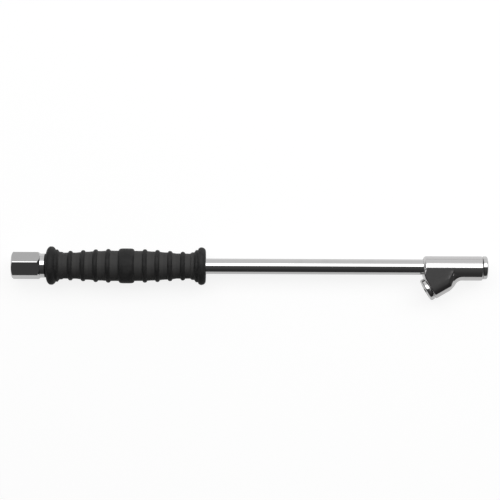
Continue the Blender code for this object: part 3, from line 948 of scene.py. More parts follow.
def run_tree(obj: bpy.types.Object, tree: bpy.types.NodeTree, finish: bpy.types.Material) -> None:
    """Puts an object through a Geometry Nodes tree and keeps the plain mesh.

    Args:
        obj: The object.
        tree: The tree, whose sizes keep their defaults.
        finish: The material that the tree sets.
    """
    modifier = obj.modifiers.new(tree.name, "NODES")
    modifier.node_group = tree
    for item in tree.interface.items_tree:
        if item.item_type == "SOCKET" and item.in_out == "INPUT" and item.name == "Finish":
            modifier[item.identifier] = finish
    bpy.context.view_layer.update()
    shape = bpy.data.meshes.new_from_object(obj.evaluated_get(bpy.context.evaluated_depsgraph_get()))
    obj.modifiers.clear()
    obj.data = shape


# --------------------------------------------------------------------------------------------------
# Sub-assemblies


def tube_axis() -> Axis:
    """The air tube's axis, with depth 0 at the middle of the lance.

    Returns:
        The axis.
    """
    low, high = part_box("air_tube")
    middle = (low + high) / 2
    return Axis(Vector((0, middle.y, middle.z)), Vector((1, 0, 0)))


@dataclass
class InletFitting:
    """Hexagonal coupling, threaded inside, with the neck and boss that the grip is pushed onto."""

    across_flats: float = 19.0 * MM
    hex_length: float = 22.4 * MM
    turn: float = math.radians(15.4)
    flat_chamfer: float = 0.35 * MM
    rear_angle: float = math.radians(32)
    neck_angle: float = math.radians(50)
    corner_cut: float = 0.3 * MM
    corner_round: float = 0.15 * MM
    points_per_flat: int = 24
    edge_round: float = 0.18 * MM
    bore_round: float = 0.1 * MM
    neck_radius: float = 9.35 * MM
    neck_length: float = 3.3 * MM
    neck_round: float = 0.35 * MM
    boss_radius: float = 8.0 * MM
    boss_length: float = 11.8 * MM
    boss_round: float = 0.2 * MM
    socket_radius: float = 6.3 * MM
    socket_depth: float = 14.0 * MM
    thread_minor: float = 5.72 * MM
    thread_depth: float = 0.8 * MM
    thread_pitch: float = 1.337 * MM
    thread_ends: tuple[float, float] = (0.15 * MM, 0.5 * MM)
    thread_crest: tuple[float, float] = (0.12, 0.88)
    thread_runout: tuple[float, float] = (0.6 * MM, 2.2 * MM)
    thread_start: float = 0.5 * MM
    inlet_depth: float = 12.5 * MM
    lead_in: float = 0.8 * MM
    passage: float = 3.5 * MM
    rows_per_thread: int = 10
    washer: tuple[float, float, float] = (5.4 * MM, 3.4 * MM, 1.5 * MM)
    washer_gap: float = 0.3 * MM
    washer_round: float = 0.25 * MM
    flat_tolerance: float = 0.03 * MM
    slope_step: float = 0.01 * MM

    def section(self) -> Outline:
        """The hexagon's outline seen along the axis, its corners taken off.

        Returns:
            Points and normals.
        """
        corner = self.across_flats / 2 / math.cos(math.pi / 6)
        cut = self.corner_cut / corner
        spots = []
        for side in range(6):
            start = math.pi / 2 - self.turn + side * math.pi / 3
            here = np.array((math.cos(start), math.sin(start))) * corner
            there = np.array((math.cos(start + math.pi / 3), math.sin(start + math.pi / 3))) * corner
            for share in np.linspace(cut, 1 - cut, self.points_per_flat):
                at_corner = share in (cut, 1 - cut)
                spots.append((*(here + (there - here) * share), self.corner_round if at_corner else 0.0))
        return rounded_outline(spots, steps=4)

    def column(self, flat: float) -> list[tuple[float, float, float]]:
        """The section in one half-plane through the axis.

        Args:
            flat: The hexagon's radius there.

        Returns:
            Depth, radius and rounding of each corner.
        """
        face = self.across_flats / 2 - self.flat_chamfer
        rear = (flat - face) * math.tan(self.rear_angle)
        front = (flat - face) * math.tan(self.neck_angle)
        foot = (self.neck_radius - face) * math.tan(self.neck_angle)
        shoulder = self.hex_length + self.neck_length
        end = shoulder + self.boss_length
        socket = end - self.socket_depth
        return [
            (0, face, self.edge_round),
            (rear, flat, self.edge_round),
            (self.hex_length - front, flat, self.edge_round),
            (self.hex_length - foot, self.neck_radius, self.bore_round),
            (shoulder, self.neck_radius, self.neck_round),
            (shoulder, self.boss_radius, self.boss_round),
            (end, self.boss_radius, self.boss_round),
            (end, self.socket_radius, self.bore_round),
            (socket, self.socket_radius, self.bore_round),
            (socket, self.passage, self.bore_round),
            (self.inlet_depth, self.passage, self.bore_round),
            (self.inlet_depth, self.thread_minor, self.bore_round),
        ]

    def thread_rows(self) -> np.ndarray:
        """Depths of the rows that carry the internal thread, from its end back to the mouth."""
        count = round(self.inlet_depth / self.thread_pitch * self.rows_per_thread)
        return np.linspace(self.inlet_depth - self.thread_ends[1], self.thread_ends[0], count)

    def thread_radius(self, depth: np.ndarray, angle: np.ndarray) -> np.ndarray:
        """Radius of the threaded wall: a rounded V that winds along the bore and widens at the lead-in.

        Args:
            depth: Depths from the mouth.
            angle: Angles round the axis.

        Returns:
            The radius at each of them.
        """
        phase = (depth / self.thread_pitch - angle / math.tau) % 1.0
        groove = ease(np.abs(phase * 2 - 1), *self.thread_crest)
        fade = ease(self.inlet_depth - depth, *self.thread_runout) * ease(depth, 0.0, self.thread_start)
        opening = np.maximum(self.lead_in - depth, 0.0)
        return self.thread_minor + np.maximum(groove * self.thread_depth * fade, opening)

    def outside(self, axis: Axis) -> tuple[np.ndarray, np.ndarray]:
        """The coupling's surface but for its threaded bore.

        Args:
            axis: The axis, with depth 0 at the mouth.

        Returns:
            Points and normals, by row along the section and column round the axis.
        """
        spots, sideways = self.section()
        flats = np.hypot(spots[:, 0], spots[:, 1])
        columns = [rounded_outline(self.column(flat), steps=4) for flat in flats]
        points = np.stack([column[0] for column in columns], axis=1)
        normals = np.stack([column[1] for column in columns], axis=1)
        radial = self.radial(spots)
        on_flat = (np.abs(points[..., 1] - flats) < self.flat_tolerance)[..., None]
        outward = np.where(on_flat, sideways, radial) * normals[..., 1:]
        places = axis.place(points[..., 0], points[..., 1] * radial[:, 0], points[..., 1] * radial[:, 1])
        return places, axis.turn(normals[..., 0], outward[..., 0], outward[..., 1])

    def bore(self, axis: Axis) -> tuple[np.ndarray, np.ndarray]:
        """The threaded bore's surface.

        Args:
            axis: The axis, with depth 0 at the mouth.

        Returns:
            Points and normals, by row along the bore and column round the axis.
        """
        spots = self.section()[0]
        angles = np.arctan2(spots[:, 1], spots[:, 0])
        radial = self.radial(spots)
        depth = self.thread_rows()[:, None]
        radius = self.thread_radius(depth, angles[None, :])
        ahead = self.thread_radius(depth + self.slope_step, angles)
        lean = (ahead - self.thread_radius(depth - self.slope_step, angles)) / (2 * self.slope_step)
        size = np.hypot(1.0, lean)
        wide = np.broadcast_to(depth, radius.shape)
        places = axis.place(wide, radius * radial[:, 0], radius * radial[:, 1])
        return places, axis.turn(lean / size, -radial[:, 0] / size, -radial[:, 1] / size)

    @staticmethod
    def radial(spots: np.ndarray) -> np.ndarray:
        """The direction of each point of the section, seen from the axis."""
        angles = np.arctan2(spots[:, 1], spots[:, 0])
        return np.stack((np.cos(angles), np.sin(angles)), axis=1)

    def build(self, chrome: bpy.types.Material, rubber: bpy.types.Material) -> None:
        """Builds the coupling and the washer inside it.

        Args:
            chrome: The coupling's finish.
            rubber: The washer's finish.
        """
        low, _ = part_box("inlet_fitting")
        axis = Axis(Vector((low.x, *tube_axis().origin.yz)), Vector((1, 0, 0)))
        surfaces = zip(self.outside(axis), self.bore(axis))
        places, directions = (np.concatenate(parts) for parts in surfaces)
        faces = ring_faces(*places.shape[:2])
        coupling = finish_mesh("hose_coupling", places.reshape(-1, 3), directions.reshape(-1, 3), faces)
        dress(coupling, chrome, Body.LANCE, "inlet_fitting")
        outer, inner, thick = self.washer
        far = self.inlet_depth - self.washer_gap
        ring = [(far - thick, inner), (far - thick, outer), (far, outer), (far, inner)]
        outline = rounded_outline([(*corner, self.washer_round) for corner in ring])
        washer = turned_piece("hose_washer", axis, outline, 96)
        dress(washer, rubber, Body.LANCE, "inlet_washer")


@dataclass
class AirTube:
    """The plated tube between the coupling and the head."""

    wall: float = 1.25 * MM
    edge: float = 0.3 * MM
    columns: int = 160

    def build(self, chrome: bpy.types.Material) -> None:
        """Builds the tube.

        Args:
            chrome: Its finish.
        """
        low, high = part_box("air_tube")
        axis = Axis(Vector((low.x, *tube_axis().origin.yz)), Vector((1, 0, 0)))
        length, outer = high.x - low.x, (high.z - low.z) / 2
        corners = [(0, outer - self.wall), (0, outer), (length, outer), (length, outer - self.wall)]
        outline = rounded_outline([(*corner, self.edge) for corner in corners])
        tube = turned_piece("plated_tube", axis, outline, self.columns)
        dress(tube, chrome, Body.LANCE, "air_tube")


@dataclass
class RubberGrip:
    """The moulded sleeve: its outer radius follows a rule, worked out by a Geometry Nodes tree."""

    flange_spacing: float = 116.0 * MM
    rear_radius: float = 14.83 * MM
    front_radius: float = 14.5 * MM
    rear_run: float = 3.75 * MM
    rear_flat: float = 0.35 * MM
    front_run: float = 3.4 * MM
    rear_drop: float = 5.2 * MM
    front_drop: float = 3.0 * MM
    rear_crown: float = 3.4 * MM
    front_crown: float = 2.8 * MM
    lip_length: float = 0.85 * MM
    lip_radius: float = 9.1 * MM
    first_step: float = 12.4 * MM
    second_step: float = 10.6 * MM
    rear_throat: float = 9.9 * MM
    front_throat: float = 9.55 * MM
    belly_radius: float = 11.68 * MM
    belly_arc: float = 410.0 * MM
    belly_shift: float = -1.9 * MM
    band_shift: float = 0.2 * MM
    first_rib: float = 14.2 * MM
    rib_pitch: float = 9.75 * MM
    rib_count: int = 4
    rib_height: float = 1.34 * MM
    rib_width: float = 3.5 * MM
    hollow: float = 0.16 * MM
    band_height: float = 1.75 * MM
    band_width: float = 12.0 * MM
    tube_bore: float = 6.3 * MM
    boss_bore: float = 8.3 * MM
    boss_length: float = 12.0 * MM
    parting_height: float = 0.09 * MM
    parting_width: float = 0.01
    columns: int = 144
    row_pitch: float = 0.26 * MM
    end_rows: int = 14
    lip_rows: int = 4
    lip_gap: float = 0.02 * MM
    rib_power: float = 2.0
    band_power: float = 6.0
    body_blend: float = 0.25 * MM
    flange_blend: float = 0.15 * MM
    bulb_share: float = 0.9
    bulb_fall: float = 4.0
    step_start: float = 1.32
    first_slope: tuple[float, float] = (0.3 * MM, 2.0 * MM)
    second_slope: tuple[float, float] = (3.5 * MM, 5.2 * MM)
    # Where the grip's colour is painted lighter: a painted sheen beside the ribs that stands for light on
    # the rubber.
    sheen_least: float = 0.8
    sheen_from_rib: tuple[float, float] = (0.9, 1.15)
    sheen_from_band: tuple[float, float] = (0.5, 0.54)
    sheen_run_out: float = 2.0 * MM

    def rows(self) -> tuple[np.ndarray, np.ndarray]:
        """The rows of vertices that the sleeve is made of.

        Returns:
            Each row's place along the grip, and its bore radius, or 0 where it is on the outside.
        """
        half = self.flange_spacing / 2
        rear, front = -half - self.rear_run, half + self.front_run
        start = rear - self.lip_length
        lip = np.linspace(start, rear - self.lip_gap, self.lip_rows)
        around = np.sin(np.linspace(0, math.pi / 2, self.end_rows))
        rear_face, front_face = -half - self.rear_run * around[:0:-1], half + self.front_run * around[1:]
        middle = np.linspace(-half, half, round(self.flange_spacing / self.row_pitch))
        outside = np.concatenate((lip, rear_face, middle, front_face))
        inside = np.array([front, start + self.boss_length, start + self.boss_length, start])
        bores = np.array([self.tube_bore, self.tube_bore, self.boss_bore, self.boss_bore])
        return np.concatenate((outside, inside)), np.concatenate((np.zeros(len(outside)), bores))

    def blank(self) -> bpy.types.Object:
        """The sleeve before it has its shape.

        Returns:
            A closed tube of unit radius, each vertex with its place along the grip and its bore radius.
        """
        along, bore = self.rows()
        turn = np.linspace(0, math.tau, self.columns, endpoint=False)
        spots = np.zeros((len(along), self.columns, 3))
        spots[..., 0] = along[:, None]
        spots[..., 1] = np.cos(turn)
        spots[..., 2] = np.sin(turn)
        mesh = bpy.data.meshes.new("grip_blank")
        faces = ring_faces(len(along), self.columns)
        mesh.from_pydata(spots.reshape(-1, 3).tolist(), [], faces.tolist())
        values = {"along": np.repeat(along, self.columns), "bore": np.repeat(bore, self.columns)}
        for name, data in values.items():
            layer = mesh.attributes.new(name, "FLOAT", "POINT")
            layer.data.foreach_set("value", data.astype(np.float32))
        obj = bpy.data.objects.new("moulded_grip", mesh)
        bpy.context.scene.collection.objects.link(obj)
        return obj

    def tree(self) -> bpy.types.NodeTree:
        """The tree that turns the blank into the sleeve. Its inputs are the sleeve's sizes.

        Returns:
            The tree.
        """
        sizes = {
            "Spacing": self.flange_spacing,
            "Rear Radius": self.rear_radius,
            "Front Radius": self.front_radius,
            "Rear Run": self.rear_run,
            "Front Run": self.front_run,
            "Rear Flat": self.rear_flat,
            "Rear Drop": self.rear_drop,
            "Front Drop": self.front_drop,
            "Rear Crown": self.rear_crown,
            "Front Crown": self.front_crown,
            "Lip Radius": self.lip_radius,
            "First Step": self.first_step,
            "Second Step": self.second_step,
            "Rear Throat": self.rear_throat,
            "Front Throat": self.front_throat,
            "Belly Radius": self.belly_radius,
            "Belly Arc": self.belly_arc,
            "Belly Shift": self.belly_shift,
            "Band Shift": self.band_shift,
            "First Rib": self.first_rib,
            "Rib Pitch": self.rib_pitch,
            "Rib Count": float(self.rib_count),
            "Rib Height": self.rib_height,
            "Rib Width": self.rib_width,
            "Hollow": self.hollow,
            "Band Height": self.band_height,
            "Band Width": self.band_width,
            "Parting Height": self.parting_height,
        }
        inputs: list[tuple] = [("Blank", GEOMETRY, None)]
        inputs += [(name, FLOAT, value) for name, value in sizes.items()]
        inputs += [("Finish", "NodeSocketMaterial", None)]
        tree = new_group("moulded_grip_rule", "GeometryNodeTree", inputs, [("Sleeve", GEOMETRY)])
        given = add_node(tree, "NodeGroupInput").outputs
        size = {name: Field(tree, given[name]) for name in sizes}
        along = Field(tree, self._attribute(tree, "along"))
        bore = Field(tree, self._attribute(tree, "bore"))
        spot = add_node(tree, "GeometryNodeInputPosition")
        split = add_node(tree, "ShaderNodeSeparateXYZ")
        tree.links.new(spot.outputs[0], split.inputs[0])
        across, up = Field(tree, split.outputs["Y"]), Field(tree, split.outputs["Z"])
        parting = up.math("ABSOLUTE").math("LESS_THAN", self.parting_width) * size["Parting Height"]
        outer = (self._outside(along, size) + parting).math("MINIMUM", size["Rear Radius"])
        radius = bore.math("GREATER_THAN", 0.0).blend(outer, bore)
        join = feed(tree, add_node(tree, "ShaderNodeCombineXYZ"), X=along, Y=across * radius, Z=up * radius)
        shape = add_node(tree, "GeometryNodeSetPosition")
        feed(tree, shape, Geometry=given["Blank"], Position=join.outputs[0])
        # Stores the painted sheen, where the rubber's colour is painted lighter to stand for light.
        kept = add_node(tree, "GeometryNodeStoreNamedAttribute", data_type="FLOAT", domain="POINT")
        feed(tree, kept, Geometry=shape.outputs["Geometry"], Name=PAINTED_SHEEN, Value=self._painted_sheen(along, size))
        close_tree(tree, kept.outputs["Geometry"], given["Finish"])
        return tree

    def _painted_sheen(self, along: Field, size: dict[str, Field]) -> Field:
        """How much painted sheen lies on the rubber, a lighter tone that stands for light on it: most at
        the foot of each rib, none on ribs, band and flanges.

        Args:
            along: Place along the grip.
            size: The tree's inputs by name.

        Returns:
            The share of bloom.
        """
        offset, from_rib = self._from_rib(along, size)
        forward = along.math("GREATER_THAN", 0.0) * 2.0 - 1.0
        half = size["Rib Width"] / 2.0
        beyond = from_rib * forward - half
        fade = (beyond / size["Rib Pitch"] * -1.0 + 1.0).math("MINIMUM", 1.0).math("MAXIMUM", 0.0)
        clear = from_rib.math("ABSOLUTE").step(*(half * share for share in self.sheen_from_rib))
        beside = offset.step(*(size["Band Width"] * share for share in self.sheen_from_band))
        ribbed = size["First Rib"] + size["Rib Pitch"] * size["Rib Count"]
        within = offset.step(ribbed, ribbed - self.sheen_run_out)
        share = beyond.math("GREATER_THAN", 0.0) * fade * (1 - self.sheen_least) + self.sheen_least
        return share * clear * beside * within

    @staticmethod
    def _from_rib(along: Field, size: dict[str, Field]) -> tuple[Field, Field]:
        """Where a place on the grip lies among its ribs.

        Args:
            along: Place along the grip.
            size: The tree's inputs by name.

        Returns:
            Distance from the middle of the band, and signed distance from the nearest rib.
        """
        offset = (along - size["Band Shift"]).math("ABSOLUTE")
        number = ((offset - size["First Rib"]) / size["Rib Pitch"]).math("ROUND")
        number = number.math("MAXIMUM", 0.0).math("MINIMUM", size["Rib Count"] - 1.0)
        return offset, offset - size["First Rib"] - number * size["Rib Pitch"]

    @staticmethod
    def _raised(share: Field, power: float) -> Field:
        """A rounded crest: 1 in the middle, 0 where share reaches 1, and squarer with a higher power."""
        return (share.math("POWER", power) * -1.0 + 1.0).math("MAXIMUM", 0.0).math("SQRT")

    @staticmethod
    def _attribute(tree: bpy.types.NodeTree, name: str) -> bpy.types.NodeSocket:
        """A named number of the blank's vertices.

        Args:
            tree: The grip's tree.
            name: The attribute's name.

        Returns:
            Its socket.
        """
        node = add_node(tree, "GeometryNodeInputNamedAttribute", data_type="FLOAT")
        node.inputs["Name"].default_value = name
        return node.outputs["Attribute"]

    def _outside(self, along: Field, size: dict[str, Field]) -> Field:
        """The outer radius: body, ribs, belly band, flanges and their steps.

        Args:
            along: Place along the grip.
            size: The tree's inputs by name.

        Returns:
            The radius there.
        """
        front = along.math("GREATER_THAN", 0.0)
        throat = front.blend(size["Rear Throat"], size["Front Throat"])
        away = along - size["Belly Shift"]
        arc = (size["Belly Arc"] * size["Belly Arc"] - away * away).math("SQRT")
        core = (size["Belly Radius"] - size["Belly Arc"] + arc).math("SMOOTH_MAX", throat, self.body_blend)
        offset, from_rib = self._from_rib(along, size)
        from_rib = from_rib.math("ABSOLUTE")
        rib = self._raised(from_rib / (size["Rib Width"] / 2.0), self.rib_power) * size["Rib Height"]
        hollow = (from_rib / (size["Rib Pitch"] / 2.0)).math("MINIMUM", 1.0)
        hollow = (hollow * hollow * -1.0 + 1.0) * size["Hollow"]
        band = self._raised(offset / (size["Band Width"] / 2.0), self.band_power) * size["Band Height"]
        body = core + rib + band + hollow

        peak = front.blend(size["Rear Radius"], size["Front Radius"])
        crown = front.blend(size["Rear Crown"], size["Front Crown"])
        run = front.blend(size["Rear Run"], size["Front Run"])
        drop = front.blend(size["Rear Drop"], size["Front Drop"])
        inwards = (along.math("ABSOLUTE") - size["Spacing"] / 2.0).negative()
        bulb = (crown * crown - inwards * inwards).math("MAXIMUM", 0.0).math("SQRT") + peak - crown
        bulb = bulb - (inwards - crown * self.bulb_share).math("MAXIMUM", 0.0) * self.bulb_fall
        settled = inwards - crown * self.step_start
        first_fall = settled.step(*self.first_slope) * (size["First Step"] - size["Second Step"])
        second_fall = settled.step(*self.second_slope) * (size["Second Step"] - throat)
        steps = size["First Step"] - first_fall - second_fall
        flange = bulb.math("SMOOTH_MAX", steps, self.body_blend)
        near = body.math("SMOOTH_MAX", flange, self.flange_blend)
        flat = front.blend(size["Rear Flat"], 0.0)
        share = (inwards.negative() - flat).math("MAXIMUM", 0.0) / (run - flat)
        outer = (share * share * -1.0 + 1.0).math("MAXIMUM", 0.0).math("SQRT")
        face = peak - drop + drop * outer
        beyond = inwards.math("LESS_THAN", 0.0)
        lip = (inwards + run).math("LESS_THAN", -self.lip_gap / 2)
        return lip.blend(beyond.blend(near, face), size["Lip Radius"])

    def build(self, rubber: bpy.types.Material) -> None:
        """Builds the sleeve.

        Args:
            rubber: Its finish.
        """
        obj = self.blank()
        run_tree(obj, self.tree(), rubber)
        low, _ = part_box("rubber_grip")
        half = self.flange_spacing / 2 + self.rear_run + self.lip_length
        middle = Vector((low.x + half, *tube_axis().origin.yz))
        for vertex in obj.data.vertices:
            vertex.co += middle
        smooth_outwards(obj.data)
        dress(obj, rubber, Body.LANCE, "rubber_grip")


@dataclass
class ChuckHead:
    """Barrel, branch and web in one casting, as a distance function in millimetres from the rear face.

    x runs along the tube, y and z are measured from its axis.
    """

    radius: float = 9.45
    length: float = 45.75
    drop: float = 0.85
    edge: float = 1.3
    barrel_edge: float = 2.6
    front_edge: float = 0.9
    face_round: float = 1.2
    branch_angle: float = math.radians(30)
    crossing: float = 32.1
    reach: float = 34.8
    seam: float = 3.85
    wall_foot: float = 26.5
    wall_angle: float = math.radians(66)
    wall_depth: float = 6.4
    crease_round: float = 0.12
    crease_turn: tuple[float, float] = (0.08, 0.18)
    lip_height: float = 0.12
    lip_fade: float = 1.3
    lip_cheek: tuple[float, float] = (8.2, 9.2)
    lip_rises: tuple[tuple[float, float], ...] = ((1.2, 4.0), (4.0, 10.0))
    corner_round: float = 2.5
    fillet: float = 3.1
    fillet_run: float = 2.6
    fillet_end: float = 0.15
    edge_change: tuple[float, float] = (-5.0, 1.0)
    tube_bores: tuple[tuple[float, float], ...] = ((6.25, 8.4), (3.2, 27.3))
    chuck_bores: tuple[tuple[float, float], ...] = ((6.2, 13.9), (5.2, 22.6), (1.7, 30.63))
    bore_edge: float = 0.4
    chuck_drop: float = 0.3
    pitch: float = 0.36
    margin: float = 1.5

    def branch(self, spot: np.ndarray) -> np.ndarray:
        """Signed distance to the branch and its web.

        Args:
            spot: Points, one row of x, y and z for each.

        Returns:
            The distance at each, negative inside them.
        """
        x, y, z = spot[:, 0] - self.crossing, spot[:, 1] + self.drop, np.abs(spot[:, 2])
        across = (math.sin(self.branch_angle), -math.cos(self.branch_angle))
        out = x * across[0] + y * across[1]
        depth = self.wall_distance(spot)
        rounded = np.hypot(np.maximum(out, 0), z)
        lip = self.lip_height * np.exp(-np.maximum(depth - self.wall_depth, 0) / self.lip_fade)
        lip = lip * ease(z, *self.lip_cheek) * sum(ease(-y, *rise) for rise in self.lip_rises)
        side = rounded - self.radius - lip
        size = np.maximum(rounded, TINY)
        ahead = np.maximum(out, 0) / size
        side_way = np.stack((ahead * across[0], ahead * across[1], z / size), axis=1)
        bulge = (self.radius**2 + self.wall_depth**2) / (2 * self.wall_depth)
        back = np.maximum(bulge - depth, 0)
        reach = np.maximum(np.hypot(back, z), TINY)
        wall = reach - bulge
        plan = (math.sin(self.wall_angle) * back / reach, -math.cos(self.wall_angle) * back / reach)
        wall_way = np.stack((*plan, z / reach), axis=1)
        apart = 1 - (side_way * wall_way).sum(axis=1)
        softer = (self.corner_round - self.crease_round) * ease(apart, *self.crease_turn)
        rounding = self.crease_round + softer
        shape = round_both(side, wall, rounding)
        return np.maximum(shape, y)

    def wall_distance(self, spot: np.ndarray) -> np.ndarray:
        """How far inside the line of the branch's end wall each point is, in plan."""
        along, down = spot[:, 0] - self.wall_foot, spot[:, 1] + self.drop + self.radius
        return down * math.cos(self.wall_angle) - along * math.sin(self.wall_angle)

    def distance(self, spot: np.ndarray) -> np.ndarray:
        """Signed distance to the casting.

        Args:
            spot: Points, one row of x, y and z for each.

        Returns:
            The distance at each, negative inside it.
        """
        x, y, z = spot[:, 0], spot[:, 1] + self.drop, spot[:, 2]
        fillet = self.fillet * ease(self.radius - self.fillet_end - np.abs(z), 0, self.fillet_run)
        body = round_either(np.hypot(y, z) - self.radius, self.branch(spot), fillet + LEAST_FILLET)
        out = (-math.cos(self.branch_angle), -math.sin(self.branch_angle))
        mouth = (x - self.crossing) * out[0] + y * out[1] - (self.reach - self.seam)
        edge = self.edge + (self.barrel_edge - self.edge) * ease(y, *self.edge_change)
        body = round_both(body, round_both(-x, mouth, self.face_round), edge)
        body = round_both(body, x - self.length, self.front_edge)
        across = (x - self.crossing) * -out[1] + y * out[0]
        straight_off = np.hypot(spot[:, 1] + self.chuck_drop, z)
        for bore in (
            self.drilled(self.tube_bores, np.hypot(spot[:, 1], z), x),
            self.drilled(self.chuck_bores, straight_off, self.length + self.seam - x),
            self.drilled(self.chuck_bores, np.hypot(across, z), self.seam - mouth),
        ):
            body = round_both(body, -bore, self.bore_edge)
        return body

    @staticmethod
    def drilled(steps: Sequence[tuple[float, float]], off: np.ndarray, depth: np.ndarray) -> np.ndarray:
        """Distance to a stepped drilling.

        Args:
            steps: Radius and end depth of each drill, widest first.
            off: Distances from the drilling's axis.
            depth: Distances along it.

        Returns:
            The distance, negative where metal is drilled away.
        """
        cuts = [np.maximum(off - radius, depth - end) for radius, end in steps]
        return np.minimum.reduce(cuts)

    def build(self, chrome: bpy.types.Material) -> None:
        """Builds the casting.

        Args:
            chrome: Its finish.
        """
        low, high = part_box("chuck_head")
        axis = tube_axis()
        origin = np.array((low.x, axis.origin.y, axis.origin.z))
        near = (np.array(low) - origin) / MM - self.margin
        far = (np.array(high) - origin) / MM + self.margin
        points, faces = surface_net(self.distance, near, far, self.pitch)
        points = settle_on(self.distance, points)
        slope = slope_of(self.distance, points)
        slope /= np.linalg.norm(slope, axis=1, keepdims=True)
        head = finish_mesh("cast_head", points * MM + origin, slope, faces)
        dress(head, chrome, Body.LANCE, "chuck_head")


@dataclass
class ChuckParts:
    """What one chuck holds, by depth from its mouth."""

    cap_radius: float = 8.95 * MM
    cap_flange: float = 3.55 * MM
    cap_end: float = 7.6 * MM
    cap_round: float = 1.3 * MM
    cap_rear_round: float = 0.4 * MM
    cap_slot: float = 0.1 * MM
    cap_relief: float = 0.45 * MM
    relief_length: float = 0.35 * MM
    relief_round: float = 0.03 * MM
    shank: float = 5.9 * MM
    shank_round: float = 0.2 * MM
    mouth: float = 4.4 * MM
    lead_in: float = 1.2 * MM
    mouth_rounds: tuple[float, float, float] = (0.15 * MM, 0.25 * MM, 0.12 * MM)
    seal_face: float = 7.9 * MM
    seal_back: float = 10.5 * MM
    seal_radius: float = 5.9 * MM
    seal_bore: float = 2.6 * MM
    seal_rounds: tuple[float, float, float] = (0.2 * MM, 0.4 * MM, 0.9 * MM)
    nose_radius: float = 1.5 * MM
    nose_tip: float = 5.8 * MM
    nose_round: float = 0.6 * MM
    guide_radius: float = 1.9 * MM
    guide_face: float = 8.3 * MM
    guide_end: float = 13.5 * MM
    guide_taper: float = 0.3 * MM
    stem_radius: float = 1.4 * MM
    poppet_radius: float = 4.2 * MM
    poppet_face: float = 15.6 * MM
    poppet_back: float = 16.8 * MM
    tail_radius: float = 1.5 * MM
    tail_end: float = 19.1 * MM
    tail_round: float = 0.24 * MM
    edge_round: float = 0.12 * MM
    flute_count: int = 3
    flute_radius: float = 0.9 * MM
    flute_centre: float = 2.2 * MM
    flute_ends: tuple[float, float] = (0.35 * MM, 0.01 * MM)

    def cap(self) -> Outline:
        """The end cap's section: flange, screwed shank and mouth.

        Returns:
            Points and normals.
        """
        back = self.cap_flange - self.cap_slot
        bore, throat, face = self.mouth_rounds
        corners = [
            (self.cap_end, self.mouth, bore),
            (self.lead_in, self.mouth, throat),
            (0, self.mouth + self.lead_in, face),
            (0, self.cap_radius, self.cap_round),
            (back, self.cap_radius, self.cap_rear_round),
            (back, self.shank - self.cap_relief, self.relief_round),
            (self.cap_flange + self.relief_length, self.shank, self.relief_round),
            (self.cap_end, self.shank, self.shank_round),
        ]
        return rounded_outline(corners, steps=8)

    def seal(self) -> Outline:
        """The mouth seal's section, with a rolled inner lip for the tyre valve.

        Returns:
            Points and normals.
        """
        outer, inner, lip = self.seal_rounds
        corners = [
            (self.seal_face, self.seal_radius, outer),
            (self.seal_back, self.seal_radius, outer),
            (self.seal_back, self.seal_bore, inner),
            (self.seal_face, self.seal_bore, lip),
        ]
        return rounded_outline(corners, steps=8)

    def plunger(self) -> Outline:
        """The plunger's section: nose, guide, stem, poppet and tail.

        Returns:
            Points and normals.
        """
        edge = self.edge_round
        corners = [
            (self.nose_tip, 0, 0),
            (self.nose_tip, self.nose_radius, self.nose_round),
            (self.guide_face - self.guide_taper, self.nose_radius, edge),
            (self.guide_face, self.guide_radius, edge),
            (self.guide_end, self.guide_radius, edge),
            (self.guide_end, self.stem_radius, edge),
            (self.poppet_face, self.stem_radius, edge),
            (self.poppet_face, self.poppet_radius, edge),
            (self.poppet_back, self.poppet_radius, edge),
            (self.poppet_back, self.tail_radius, edge),
            (self.tail_end, self.tail_radius, self.tail_round),
            (self.tail_end, 0, 0),
        ]
        return rounded_outline(corners, steps=4)

    def flutes(self, columns: int) -> np.ndarray:
        """Distance from the axis to the nearest air groove's floor.

        Args:
            columns: Facets round the axis.

        Returns:
            The distance at each facet, endless where there is no groove.
        """
        angle = np.linspace(0, math.tau, columns, endpoint=False)
        floor = np.full(columns, np.inf)
        for flute in range(self.flute_count):
            off = angle - math.pi / 2 - math.tau * flute / self.flute_count
            sideways = self.flute_centre * np.sin(off)
            reach = np.sqrt(np.maximum(self.flute_radius**2 - sideways**2, 0))
            near = self.flute_centre * np.cos(off) - reach
            floor = np.where((reach > 0) & (near > 0), np.minimum(floor, near), floor)
        return floor

    def fluted_plunger(self, name: str, axis: Axis, columns: int = 144) -> bpy.types.Object:
        """The plunger with air grooves along its guide.

        Args:
            name: The piece's name.
            axis: The chuck's axis.
            columns: Facets round it.

        Returns:
            The object.
        """
        outline = self.plunger()
        depth = outline[0][:, :1]
        before, after = self.flute_ends
        on_guide = (depth > self.guide_face - before) & (depth < self.guide_end + after)
        reach = np.where(on_guide, self.flutes(columns), np.inf)
        return turned_piece(name, axis, outline, columns, reach)


